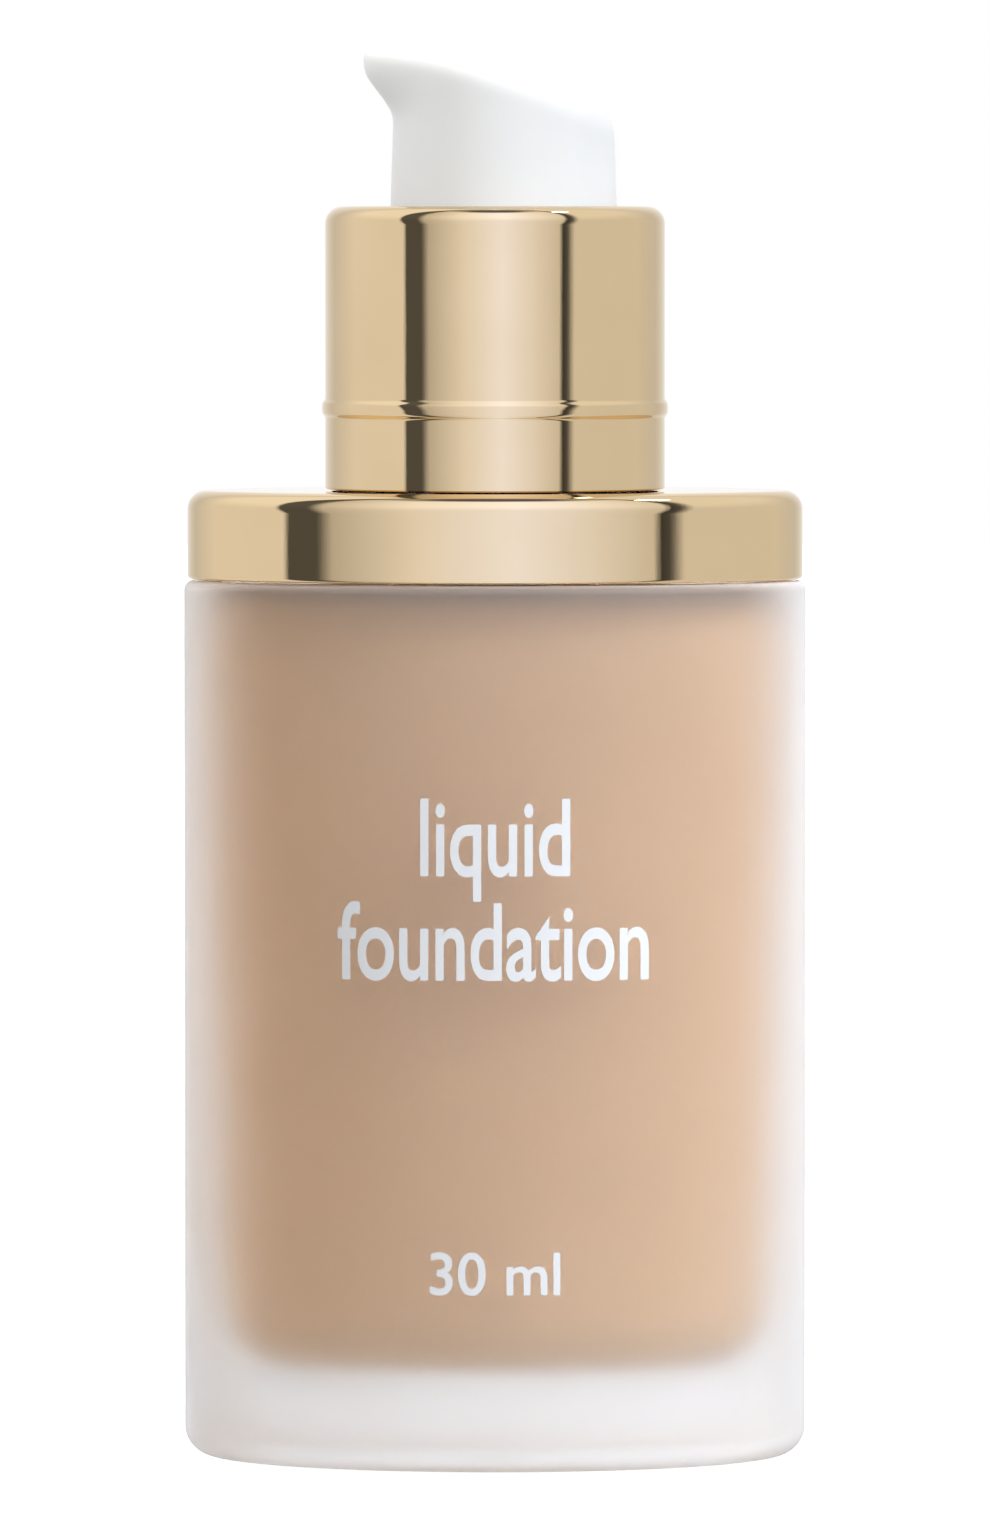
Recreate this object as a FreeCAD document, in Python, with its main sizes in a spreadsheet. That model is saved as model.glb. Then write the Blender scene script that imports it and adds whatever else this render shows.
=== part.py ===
"""Foundation bottle: an oval frosted-glass bottle with a gilt shoulder plate, a screw-on treatment pump under
a gilt collar, and a white spouted pump head.

Millimetres, +Z up. The origin is the centre of the base, on the surface the bottle stands on. The bottle's
wide face looks along -Y and the spout points along -X. Every piece is one object of the document, sized from
the Dims sheet.
"""

import FreeCAD, Part
import math
import os
import re
from types import SimpleNamespace

import Sketcher

# alias, millimetres, what it is. Heights are above the base.
DIMENSIONS = [
    # Glass bottle.
    ("bottle_width", 46.0, "glass body, left to right"),
    ("bottle_depth", 30.8, "glass body, front to back"),
    ("bottle_height", 64.8, "flat shoulder of the glass body"),
    ("base_round", 2.2, "outer round of the base"),
    ("rim_round", 0.7, "outer round of the shoulder"),
    ("base_glass", 6.9, "thickness of the heavy base"),
    ("wall_glass", 5.75, "wall at the foot of the cavity"),
    ("cavity_draft", 1.5, "how much wider the cavity is at its top, all round"),
    ("crown_inset", 2.75, "raised crown inside the edge of the shoulder"),
    ("crown_top", 66.3, "top of that crown, under the plate"),
    ("crown_round", 0.6, "round of its edge"),
    ("crown_glass", 1.9, "glass over the cavity"),
    ("cavity_round", 4.2, "round inside the foot of the cavity"),
    ("cavity_shoulder_round", 1.6, "round inside the top of the cavity"),
    ("punt_depth", 0.45, "recess under the base"),
    ("punt_margin", 4.5, "width of the flat ring around that recess"),
    ("neck_radius", 8.8, "neck between its threads"),
    ("neck_bore", 6.6, "radius of the mouth"),
    ("neck_top", 79.8, "sealing face of the neck"),
    ("neck_round", 1.0, "fillet where neck meets crown"),
    ("lip_round", 0.5, "rounds of the neck's lip"),
    ("bead_radius", 9.5, "locking bead low on the neck"),
    ("bead_height", 68.2, "underside of that bead"),
    ("bead_width", 1.0, "height of that bead at its crest"),
    ("key_reach", 14.0, "orientation key from the axis"),
    ("key_length", 3.0, "orientation key along X"),
    ("key_width", 1.8, "orientation key along Y"),
    ("key_rise", 1.2, "orientation key above the crown"),
    # Screw thread, shared by the neck and the collar.
    ("thread_pitch", 3.18, "rise in one turn"),
    ("thread_crest", 9.7, "radius of the neck's thread"),
    ("thread_foot", 0.9, "half the thread's width at its root"),
    ("thread_tip", 0.45, "half the thread's width at its crest"),
    ("thread_low", 73.6, "middle of the neck's thread where it starts"),
    ("thread_turns", 1.5, "turns on the neck"),
    ("thread_drop", 1.4, "collar's thread below the neck's"),
    ("thread_inner", 9.05, "crest of the collar's thread"),
    ("collar_turns", 1.25, "turns in the collar"),
    ("sink", 0.2, "how far a rib is rooted in its wall"),
    # Fluid.
    ("wetting_gap", 0.05, "fluid to glass"),
    ("fill_height", 64.2, "surface of the fluid"),
    ("tube_gap", 0.12, "fluid to dip tube and pump"),
    # Shoulder plate and its clip-on insert.
    ("plate_inset", 0.28, "plate inside the bottle's outline"),
    ("plate_bottom", 64.93, "lower edge of the plate"),
    ("plate_top", 71.45, "flat top of the plate"),
    ("plate_round", 1.4, "outer round of the plate's top"),
    ("plate_edge", 0.25, "round of the plate's lower edge"),
    ("plate_wall", 0.6, "metal of the plate"),
    ("plate_hole", 10.6, "radius of the hole for the neck"),
    ("insert_gap", 0.05, "plate to insert"),
    ("insert_wall", 1.2, "walls of the insert"),
    ("insert_hub", 11.4, "outer radius of the insert's hub"),
    ("insert_foot", 66.6, "lower end of the hub and ribs"),
    ("insert_bottom", 65.2, "lower end of the insert's skirt"),
    ("clip_gap", 0.12, "insert to neck"),
    ("clip_lip", 9.15, "radius of the lip under the neck's bead"),
    ("rib_width", 0.8, "ribs of the insert"),
    ("slot_width", 1.0, "slots that let the hub spring open"),
    # Collar: gilt shell over a screw cap.
    ("collar_radius", 12.55, "outside of the gilt collar"),
    ("collar_top", 92.4, "top of the gilt collar"),
    ("collar_bottom", 71.55, "lower edge of the gilt collar"),
    ("collar_round", 1.3, "round of the collar's top"),
    ("collar_wall", 0.45, "metal of the collar"),
    ("collar_mouth", 9.6, "radius of the collar's opening"),
    ("ring_height", 77.5, "middle of the ring around the collar"),
    ("ring_foot", 0.75, "half the ring's width at the wall"),
    ("ring_tip", 0.32, "half the ring's width at its crest"),
    ("ring_proud", 0.24, "ring beyond the wall"),
    ("cap_gap", 0.05, "screw cap to shell"),
    ("cap_bottom", 71.8, "lower edge of the screw cap"),
    ("cap_bore", 10.0, "inside of the screw cap's skirt"),
    ("deck_bottom", 81.6, "underside of the deck that clamps the pump"),
    ("deck_top", 82.8, "top of that deck"),
    ("deck_hole", 6.6, "hole in the deck"),
    ("guide_bore", 9.35, "inside of the guide that the head slides in"),
    ("guide_radius", 10.35, "outside of the guide"),
    ("guide_top", 91.85, "top of the guide"),
    ("guide_rib_width", 1.0, "ribs between guide and shell"),
    ("guide_rib_top", 90.4, "top of those ribs"),
    # Pump body.
    ("gasket_inner", 6.75, "inside of the neck gasket"),
    ("gasket_outer", 8.6, "outside of the neck gasket"),
    ("gasket_bottom", 79.83, "underside of the gasket"),
    ("flange_bottom", 80.55, "underside of the pump's flange"),
    ("flange_top", 81.55, "top of the pump's flange"),
    ("flange_radius", 8.7, "pump's flange"),
    ("barrel_bore", 3.8, "pump cylinder, inside"),
    ("barrel_radius", 4.7, "pump cylinder, outside"),
    ("barrel_floor", 63.8, "floor of the pump cylinder"),
    ("cup_radius", 5.95, "top of the pump body, outside"),
    ("cup_bore", 5.0, "top of the pump body, inside"),
    ("cup_floor", 78.0, "step that the retaining cap sits on"),
    ("cup_bottom", 76.8, "where the pump body starts to widen"),
    ("cone_top", 62.2, "top of the pump's lower cone"),
    ("cone_bottom", 60.6, "bottom of that cone"),
    ("inlet_radius", 2.7, "socket for the dip tube, outside"),
    ("inlet_bottom", 55.5, "lower end of that socket"),
    ("inlet_top", 60.2, "inner end of that socket"),
    ("chamber_bore", 1.9, "ball chamber"),
    ("seat_top", 61.6, "top of the ball's conical seat"),
    ("seat_bottom", 60.8, "bottom of the ball's conical seat"),
    ("seat_bore", 1.0, "inlet hole under the ball"),
    ("tube_radius", 1.75, "dip tube, outside"),
    ("tube_bore", 1.1, "dip tube, inside"),
    ("tube_bottom", 8.2, "lower end of the dip tube"),
    ("tube_fit", 0.02, "dip tube to socket"),
    ("tube_notch", 1.6, "height of the notch in its lower end"),
    ("bearing_gap", 0.02, "between faces that bear on each other"),
    ("ball_radius", 1.5, "inlet ball"),
    ("ball_height", 61.97, "middle of the ball on its seat"),
    # Moving pump parts, with the pump at rest.
    ("cage_bottom", 63.85, "spring seat's foot"),
    ("cage_ceiling", 64.45, "stop above the ball"),
    ("cage_deck", 65.25, "where the spring stands"),
    ("cage_radius", 3.65, "spring seat, outside"),
    ("cage_bore", 2.3, "spring seat, inside"),
    ("cage_boss", 2.2, "boss that centres the spring"),
    ("cage_boss_top", 66.4, "top of that boss"),
    ("cage_port", 0.55, "radius of the four ports"),
    ("cage_port_reach", 1.35, "ports from the axis"),
    ("spring_radius", 2.85, "middle of the spring's wire from the axis"),
    ("spring_wire", 0.23, "radius of the spring's wire"),
    ("spring_turns", 5.0, "turns of the spring"),
    ("spring_gap", 0.03, "spring to the faces at its ends"),
    ("poppet_radius", 3.2, "head of the valve pin"),
    ("poppet_bottom", 72.75, "underside of that head"),
    ("poppet_top", 73.6, "top of its rim"),
    ("poppet_crown", 73.93, "sealing face under the piston"),
    ("crown_radius", 2.05, "radius of that face"),
    ("poppet_boss", 2.2, "boss inside the spring"),
    ("poppet_boss_bottom", 71.9, "lower end of that boss"),
    ("pin_radius", 0.85, "shank of the valve pin"),
    ("pin_plug", 1.17, "fluted plug in the stem"),
    ("plug_bottom", 77.2, "lower end of that plug"),
    ("pin_top", 80.4, "upper end of the valve pin"),
    ("flute_width", 0.6, "flutes of the plug"),
    ("piston_radius", 3.76, "piston lips"),
    ("piston_waist", 3.3, "piston between its lips"),
    ("piston_bottom", 74.0, "sealing face of the piston"),
    ("piston_top", 77.95, "top of the piston"),
    ("piston_lip", 1.1, "height of each lip"),
    ("piston_bore", 2.15, "piston around the stem"),
    ("piston_throat", 1.5, "piston around the valve pin"),
    ("piston_ledge", 75.2, "step between those bores"),
    ("stem_radius", 2.1, "stem, outside"),
    ("stem_bore", 1.2, "stem, inside"),
    ("stem_bottom", 76.0, "lower end of the stem"),
    ("stem_top", 94.0, "upper end of the stem"),
    ("shoulder_radius", 2.8, "stem's shoulder"),
    ("shoulder_bottom", 78.6, "underside of that shoulder"),
    ("shoulder_top", 79.8, "top of that shoulder"),
    ("window_width", 0.9, "inlet windows at the stem's foot"),
    ("window_height", 0.9, "height of those windows"),
    ("cap_skirt", 4.95, "retaining cap inside the pump body"),
    ("cap_flange", 6.2, "retaining cap's flange"),
    ("cap_flange_top", 82.5, "top of that flange"),
    ("cap_recess", 3.0, "retaining cap around the stem's shoulder"),
    ("cap_step", 80.0, "end of that recess"),
    ("cap_guide", 2.16, "retaining cap around the stem"),
    ("cap_hub", 3.6, "hub of the retaining cap"),
    ("cap_hub_top", 83.4, "top of that hub"),
    # Pump head.
    ("head_offset", 0.64, "middle of the head's barrel behind the stem"),
    ("head_radius", 8.35, "head's barrel where it enters the collar"),
    ("head_draft", 0.03, "how much narrower, for each millimetre up"),
    ("head_bottom", 88.3, "lower edge of the head"),
    ("head_roof", 104.7, "above the whole of the head's top"),
    ("head_bore", 7.2, "inside of the head"),
    ("head_shell", 1.4, "thickness of the head's top"),
    ("tip_across", -8.15, "first point of the arched top, at the spout"),
    ("tip_height", 103.87, "height of that point"),
    ("middle_across", -1.0, "second point of the arched top"),
    ("middle_height", 102.97, "height of that point"),
    ("back_across", 6.32, "third point of the arched top, at the back"),
    ("back_height", 100.77, "height of that point"),
    ("top_round", 1.15, "round of the top edge"),
    ("spout_flare", 2.35, "spout beyond the barrel"),
    ("spout_low", 98.6, "where the spout starts to stand out"),
    ("spout_rise", 4.4, "height over which it stands out"),
    ("spout_spread", 0.33, "half the spout's breadth, radians about the barrel's axis"),
    ("boss_radius", 3.4, "boss around the stem's socket"),
    ("boss_bottom", 88.4, "lower end of the boss"),
    ("boss_top", 101.0, "upper end of the boss"),
    ("socket_radius", 2.13, "socket for the stem"),
    ("socket_top", 94.05, "end of that socket"),
    ("riser_bore", 1.1, "passage above the stem"),
    ("channel_bore", 0.6, "passage along the spout"),
    ("channel_wall", 1.5, "outside of the tube around that passage"),
    ("channel_low", 99.4, "passage on the stem's axis"),
    ("channel_high", 102.85, "passage at the spout's tip"),
    ("spout_reach", 9.69, "tip of the spout from the stem's axis"),
]

GUIDE_RIBS = 12
HUB_SLOTS = 8
CAGE_PORTS = 4
PLUG_FLUTES = 4
STEM_WINDOWS = 2
HEAD_LEVELS = 20
HEAD_POINTS = 48
FULL_TURN = 360.0
EXTENT = 40.0

ALIASES = {alias for alias, value, note in DIMENSIONS}
doc = FreeCAD.newDocument("foundation_bottle")


def build_sheet():
    sheet = doc.addObject("Spreadsheet::Sheet", "Dims")
    for row, (alias, value, note) in enumerate(DIMENSIONS, start=1):
        sheet.set(f"A{row}", note)
        sheet.set(f"B{row}", str(value))
        sheet.setAlias(f"B{row}", alias)
    doc.recompute()
    return sheet


def formula(text):
    """An expression on the sheet's aliases, as FreeCAD reads it."""
    return re.sub(r"[a-z_]+", lambda word: f"Dims.{word[0]}" if word[0] in ALIASES else word[0], text)


def bind(thing, prop, text):
    thing.setExpression(prop, formula(text))


# Sketches.


def sketch(body, name, role, height=None, turn=0.0):
    """An empty sketch on one of the body's own planes, or on that plane raised to a height and turned."""
    made = body.newObject("Sketcher::SketchObject", name)
    plane = next(feature for feature in body.Origin.OriginFeatures if feature.Role == role)
    made.AttachmentSupport = [(plane, "")]
    made.MapMode = "FlatFace"
    spin = FreeCAD.Rotation(FreeCAD.Vector(0, 0, 1), turn)
    made.AttachmentOffset = FreeCAD.Placement(FreeCAD.Vector(0, 0, 0), spin)
    if height is not None:
        bind(made, "AttachmentOffset.Base.z", height)
    return made


def dimension(made, name, constraint, text):
    index = made.addConstraint(constraint)
    made.renameConstraint(index, name)
    bind(made, f"Constraints.{name}", text)


def place(made, geometry, position, across, up):
    """Ties one point of a sketch to two expressions, each its distance from the origin."""
    for kind, axis, text in (("DistanceX", -2, across), ("DistanceY", -1, up)):
        if text == "0":
            made.addConstraint(Sketcher.Constraint("PointOnObject", geometry, position, axis))
        else:
            held = Sketcher.Constraint(kind, -1, 1, geometry, position, 1.0)
            dimension(made, f"{kind}_{geometry}_{position}", held, text)


def polygon(made, corners):
    """A closed outline through corners, each a pair of expressions (across, up)."""
    first = made.GeometryCount
    count = len(corners)
    turns = [math.tau * i / count for i in range(count)]
    start = [FreeCAD.Vector(math.cos(turn), math.sin(turn), 0) * 10 for turn in turns]
    for i in range(count):
        made.addGeometry(Part.LineSegment(start[i], start[(i + 1) % count]), False)
    for i in range(count):
        made.addConstraint(Sketcher.Constraint("Coincident", first + i, 2, first + (i + 1) % count, 1))
    for i, (across, up) in enumerate(corners):
        place(made, first + i, 1, across, up)


def circle(made, radius, across="0", up="0"):
    index = made.addGeometry(Part.Circle(FreeCAD.Vector(0, 0, 0), FreeCAD.Vector(0, 0, 1), 1.0), False)
    place(made, index, 3, across, up)
    dimension(made, f"radius_{index}", Sketcher.Constraint("Radius", index, 1.0), radius)


def oval(made, width, depth):
    """An ellipse about the origin, width along the sketch's X."""
    long_end, short_end, middle = FreeCAD.Vector(20, 0, 0), FreeCAD.Vector(0, 12, 0), FreeCAD.Vector(0, 0, 0)
    index = made.addGeometry(Part.Ellipse(long_end, short_end, middle), False)
    made.exposeInternalGeometry(index)
    made.addConstraint(Sketcher.Constraint("Coincident", index, 3, -1, 1))
    made.addConstraint(Sketcher.Constraint("PointOnObject", index + 1, 1, -1))
    dimension(made, f"width_{index}", Sketcher.Constraint("Distance", index + 1, 40.0), width)
    dimension(made, f"depth_{index}", Sketcher.Constraint("Distance", index + 2, 24.0), depth)


# Features.


def new_body(label):
    body = doc.addObject("PartDesign::Body", label)
    body.Label = label
    return body


def volume_of(body):
    return body.Shape.Volume if body.Tip is not None and not body.Shape.isNull() else 0.0


def feature(body, kind, name, profile, **settings):
    """Adds a PartDesign feature on a profile. Returns it, and the body's volume before it."""
    before = volume_of(body)
    made = body.newObject(f"PartDesign::{kind}", name)
    made.Profile = profile
    for key, value in settings.items():
        setattr(made, key, value)
    return made, before


def settle(body, made, before, cuts):
    """A cut has to take material away, and anything else has to add it."""
    doc.recompute()
    after = volume_of(body)
    if (after >= before) if cuts else (after <= before):
        raise RuntimeError(f"{made.Label} changed nothing: {before:.2f} to {after:.2f}")
    return made


def pad(body, profile, length):
    made, before = feature(body, "Pad", f"{profile.Label}_pad", profile)
    bind(made, "Length", length)
    return settle(body, made, before, cuts=False)


def pocket(body, profile, length, both_ways=False):
    """Cuts backwards from the profile's plane, or to both sides of it."""
    sides = "Symmetric" if both_ways else "One side"
    made, before = feature(body, "Pocket", f"{profile.Label}_pocket", profile, SideType=sides)
    bind(made, "Length", length)
    return settle(body, made, before, cuts=True)


def loft(body, outlines, cuts=False):
    """Joins outlines at different heights by a straight-sided solid, or cuts that solid away."""
    kind = "SubtractiveLoft" if cuts else "AdditiveLoft"
    settings = {"Sections": outlines[1:], "Ruled": True}
    made, before = feature(body, kind, f"{outlines[0].Label}_loft", outlines[0], **settings)
    return settle(body, made, before, cuts)


def revolve(body, profile):
    settings = {"ReferenceAxis": (profile, ["V_Axis"]), "Angle": FULL_TURN}
    made, before = feature(body, "Revolution", f"{profile.Label}_turned", profile, **settings)
    return settle(body, made, before, cuts=False)


def groove(body, profile):
    settings = {"ReferenceAxis": (profile, ["V_Axis"]), "Angle": FULL_TURN}
    made, before = feature(body, "Groove", f"{profile.Label}_groove", profile, **settings)
    return settle(body, made, before, cuts=True)


def coil(body, profile, pitch, turns):
    """Winds a profile upwards round the Z axis, as a right-hand thread or spring."""
    settings = {"ReferenceAxis": (profile, ["V_Axis"]), "Mode": "pitch-turns-angle", "LeftHanded": False}
    made, before = feature(body, "AdditiveHelix", f"{profile.Label}_coil", profile, **settings)
    bind(made, "Pitch", pitch)
    bind(made, "Turns", turns)
    return settle(body, made, before, cuts=False)


def polar(body, source, profile, count):
    """Repeats one feature evenly round the Z axis."""
    made = body.newObject("PartDesign::PolarPattern", f"{source.Label}_round")
    made.Originals = [source]
    made.Axis = (profile, ["N_Axis"])
    made.Angle = FULL_TURN
    made.Occurrences = count
    body.Tip = made
    doc.recompute()
    return made


def rings(body, height, radius=None):
    """The names of the flat closed edges at a height, or only those of one radius."""
    found = []
    for index, edge in enumerate(body.Shape.Edges, start=1):
        box = edge.BoundBox
        flat = abs(box.ZMin - height) < 1e-4 and abs(box.ZMax - height) < 1e-4
        if flat and (radius is None or abs(box.XMax - radius) < 1e-3):
            found.append(f"Edge{index}")
    if not found:
        raise RuntimeError(f"{body.Label} has no ring at {height}")
    return found


def fillet(body, edges, radius):
    base, before = body.Tip, volume_of(body)
    made = body.newObject("PartDesign::Fillet", "round")
    made.Base = (base, edges)
    bind(made, "Radius", radius)
    doc.recompute()
    if volume_of(body) == before:
        raise RuntimeError(f"{body.Label}: a round of {radius} changed nothing")
    return made


# Glass bottle and what is in it.


def cavity_sketches(body, foot, top, gap):
    """The cavity's outline at its foot and at its top, a gap inside the glass."""
    outlines = []
    for name, height, draft in (("cavity_foot", foot, "0"), ("cavity_top", top, "cavity_draft")):
        outline = sketch(body, name, "XY_Plane", height)
        shrink = f"2 * (wall_glass - {draft} + {gap})"
        oval(outline, f"bottle_width - {shrink}", f"bottle_depth - {shrink}")
        outlines.append(outline)
    return outlines


def glass_bottle():
    body = new_body("glass_bottle")
    outline = sketch(body, "outline", "XY_Plane")
    oval(outline, "bottle_width", "bottle_depth")
    pad(body, outline, "bottle_height")
    fillet(body, rings(body, 0.0), "base_round")
    fillet(body, rings(body, at.bottle_height), "rim_round")
    crown = sketch(body, "crown", "XY_Plane", "bottle_height - sink")
    oval(crown, "bottle_width - 2 * crown_inset", "bottle_depth - 2 * crown_inset")
    pad(body, crown, "crown_top - bottle_height + sink")
    fillet(body, rings(body, at.crown_top), "crown_round")

    neck = sketch(body, "neck", "XZ_Plane")
    slope = "bead_radius - neck_radius"
    polygon(
        neck,
        [
            ("0", "crown_top - crown_glass / 2"),
            ("neck_radius", "crown_top - crown_glass / 2"),
            ("neck_radius", f"bead_height - ({slope})"),
            ("bead_radius", "bead_height"),
            ("bead_radius", "bead_height + bead_width"),
            ("neck_radius", f"bead_height + bead_width + ({slope})"),
            ("neck_radius", "neck_top"),
            ("0", "neck_top"),
        ],
    )
    revolve(body, neck)
    fillet(body, rings(body, at.crown_top, at.neck_radius), "neck_round")

    thread = sketch(body, "thread", "XZ_Plane")
    polygon(
        thread,
        [
            ("neck_radius - sink", "thread_low - thread_foot"),
            ("thread_crest", "thread_low - thread_tip"),
            ("thread_crest", "thread_low + thread_tip"),
            ("neck_radius - sink", "thread_low + thread_foot"),
        ],
    )
    coil(body, thread, "thread_pitch", "thread_turns")

    keys = sketch(body, "keys", "XY_Plane", "crown_top - sink")
    for side in ("", "-"):
        inner, outer = f"{side}(key_reach - key_length / 2)", f"{side}(key_reach + key_length / 2)"
        low, high = "-key_width / 2", "key_width / 2"
        polygon(keys, [(inner, low), (outer, low), (outer, high), (inner, high)])
    pad(body, keys, "key_rise + sink")

    cavity_top = "crown_top - crown_glass"
    cavity = cavity_sketches(body, "base_glass", cavity_top, "0")
    loft(body, cavity, cuts=True)
    fillet(body, rings(body, at.base_glass), "cavity_round")
    fillet(body, rings(body, at.crown_top - at.crown_glass), "cavity_shoulder_round")
    mouth = sketch(body, "mouth", "XY_Plane", "neck_top")
    circle(mouth, "neck_bore")
    pocket(body, mouth, f"neck_top - ({cavity_top}) + sink")
    fillet(body, rings(body, at.neck_top), "lip_round")

    punt = sketch(body, "punt", "XY_Plane", "punt_depth")
    margin = "2 * (punt_margin + base_round)"
    oval(punt, f"bottle_width - {margin}", f"bottle_depth - {margin}")
    pocket(body, punt, "punt_depth")
    return body


def foundation_fluid():
    """The fluid fills the cavity to its level, round the dip tube and the foot of the pump."""
    body = new_body("foundation_fluid")
    loft(body, cavity_sketches(body, "base_glass + wetting_gap", "fill_height", "wetting_gap"))
    wells = [
        ("around_tube", "tube_radius", "tube_bottom"),
        ("around_socket", "inlet_radius", "inlet_bottom"),
        ("around_pump", "barrel_radius", "cone_bottom"),
    ]
    for name, radius, bottom in wells:
        well = sketch(body, name, "XY_Plane", "fill_height")
        circle(well, f"{radius} + tube_gap")
        pocket(body, well, f"fill_height - {bottom} + tube_gap")
    fillet(body, rings(body, at.base_glass + at.wetting_gap), "cavity_round - wetting_gap")
    half_width = at.bottle_width / 2 - at.wall_glass + at.cavity_draft - at.wetting_gap
    fillet(body, rings(body, at.fill_height, half_width), "cavity_shoulder_round")
    return body


# Shoulder plate and insert.


def shoulder_plate():
    """A gilt metal cover, open underneath, with a round hole for the neck."""
    body = new_body("shoulder_plate")
    width, depth = "bottle_width - 2 * plate_inset", "bottle_depth - 2 * plate_inset"
    outline = sketch(body, "plate", "XY_Plane", "plate_bottom")
    oval(outline, width, depth)
    pad(body, outline, "plate_top - plate_bottom")
    fillet(body, rings(body, at.plate_top), "plate_round")
    fillet(body, rings(body, at.plate_bottom), "plate_edge")
    ceiling = "plate_top - plate_wall"
    hollow = sketch(body, "hollow", "XY_Plane", ceiling)
    oval(hollow, f"{width} - 2 * plate_wall", f"{depth} - 2 * plate_wall")
    pocket(body, hollow, f"{ceiling} - plate_bottom")
    fillet(body, rings(body, at.plate_top - at.plate_wall), "plate_round - plate_wall")
    hole = sketch(body, "hole", "XY_Plane", "plate_top")
    circle(hole, "plate_hole")
    pocket(body, hole, "2 * plate_wall")
    return body


def plate_insert():
    """The moulded insert under the plate: deck, skirt, ribs, and a hub that clips over the neck's bead."""
    body = new_body("plate_insert")
    width = "bottle_width - 2 * (plate_inset + plate_wall + insert_gap)"
    depth = "bottle_depth - 2 * (plate_inset + plate_wall + insert_gap)"
    deck_top = "plate_top - plate_wall - insert_gap"
    deck_bottom = f"{deck_top} - insert_wall"

    skirt = sketch(body, "skirt", "XY_Plane", "insert_bottom")
    oval(skirt, width, depth)
    oval(skirt, f"{width} - 2 * insert_wall", f"{depth} - 2 * insert_wall")
    pad(body, skirt, f"{deck_top} - insert_bottom")
    deck = sketch(body, "deck", "XY_Plane", deck_bottom)
    oval(deck, f"{width} - insert_wall", f"{depth} - insert_wall")
    pad(body, deck, "insert_wall")
    fillet(body, rings(body, at.plate_top - at.plate_wall - at.insert_gap), "plate_round - plate_wall")

    hub = sketch(body, "hub", "XY_Plane", "insert_foot")
    circle(hub, "insert_hub")
    pad(body, hub, f"{deck_bottom} + insert_wall / 2 - insert_foot")

    ribs = sketch(body, "ribs", "XY_Plane", "insert_foot")
    near, far = "insert_hub - insert_wall / 2", f"({width}) / 2 - insert_wall / 2"
    inside, outside = "key_width / 2 + clip_gap", "key_width / 2 + clip_gap + rib_width"
    for side in ("", "-"):
        for row in ("", "-"):
            start, end = f"{side}({near})", f"{side}({far})"
            low, high = f"{row}({inside})", f"{row}({outside})"
            polygon(ribs, [(start, low), (end, low), (end, high), (start, high)])
    for side in ("", "-"):
        start, end = f"{side}({near})", f"{side}(({depth}) / 2 - insert_wall / 2)"
        left, right = "-rib_width / 2", "rib_width / 2"
        polygon(ribs, [(left, start), (right, start), (right, end), (left, end)])
    pad(body, ribs, f"{deck_bottom} + insert_wall / 2 - insert_foot")

    bore = sketch(body, "bore", "XZ_Plane")
    slope = "bead_radius - neck_radius"
    polygon(
        bore,
        [
            ("0", "insert_bottom - insert_wall"),
            ("clip_lip + insert_wall / 2", "insert_bottom - insert_wall"),
            ("clip_lip + insert_wall / 2", "insert_foot"),
            ("clip_lip", "insert_foot + insert_wall / 2"),
            ("clip_lip", f"bead_height - ({slope})"),
            ("bead_radius + clip_gap", "bead_height"),
            ("thread_crest + clip_gap", "bead_height + clip_gap"),
            ("thread_crest + clip_gap", f"{deck_top} + insert_wall"),
            ("0", f"{deck_top} + insert_wall"),
        ],
    )
    groove(body, bore)

    slot = sketch(body, "slot", "XY_Plane", deck_bottom, turn=FULL_TURN / HUB_SLOTS / 2)
    near, far, half = "clip_lip - insert_wall", "insert_hub + sink", "slot_width / 2"
    polygon(slot, [(near, f"-{half}"), (far, f"-{half}"), (far, half), (near, half)])
    polar(body, pocket(body, slot, f"{deck_bottom} - insert_foot"), slot, HUB_SLOTS)
    return body


# Collar.


def collar_shell():
    """The gilt metal collar: a drawn cup with a rolled ring and a round opening for the head."""
    body = new_body("collar_shell")
    inner = "collar_radius - collar_wall"
    section = sketch(body, "section", "XZ_Plane")
    polygon(
        section,
        [
            (inner, "collar_bottom"),
            ("collar_radius", "collar_bottom"),
            ("collar_radius", "ring_height - ring_foot"),
            ("collar_radius + ring_proud", "ring_height - ring_tip"),
            ("collar_radius + ring_proud", "ring_height + ring_tip"),
            ("collar_radius", "ring_height + ring_foot"),
            ("collar_radius", "collar_top"),
            ("collar_mouth", "collar_top"),
            ("collar_mouth", "collar_top - collar_wall"),
            (inner, "collar_top - collar_wall"),
        ],
    )
    revolve(body, section)
    fillet(body, rings(body, at.collar_top, at.collar_radius), "collar_round")
    inner_top = rings(body, at.collar_top - at.collar_wall, at.collar_radius - at.collar_wall)
    fillet(body, inner_top, "collar_round - collar_wall")
    for side in (-1, 1):
        crest = rings(body, at.ring_height + side * at.ring_tip, at.collar_radius + at.ring_proud)
        fillet(body, crest, "ring_tip * 0.6")
    return body


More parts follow.
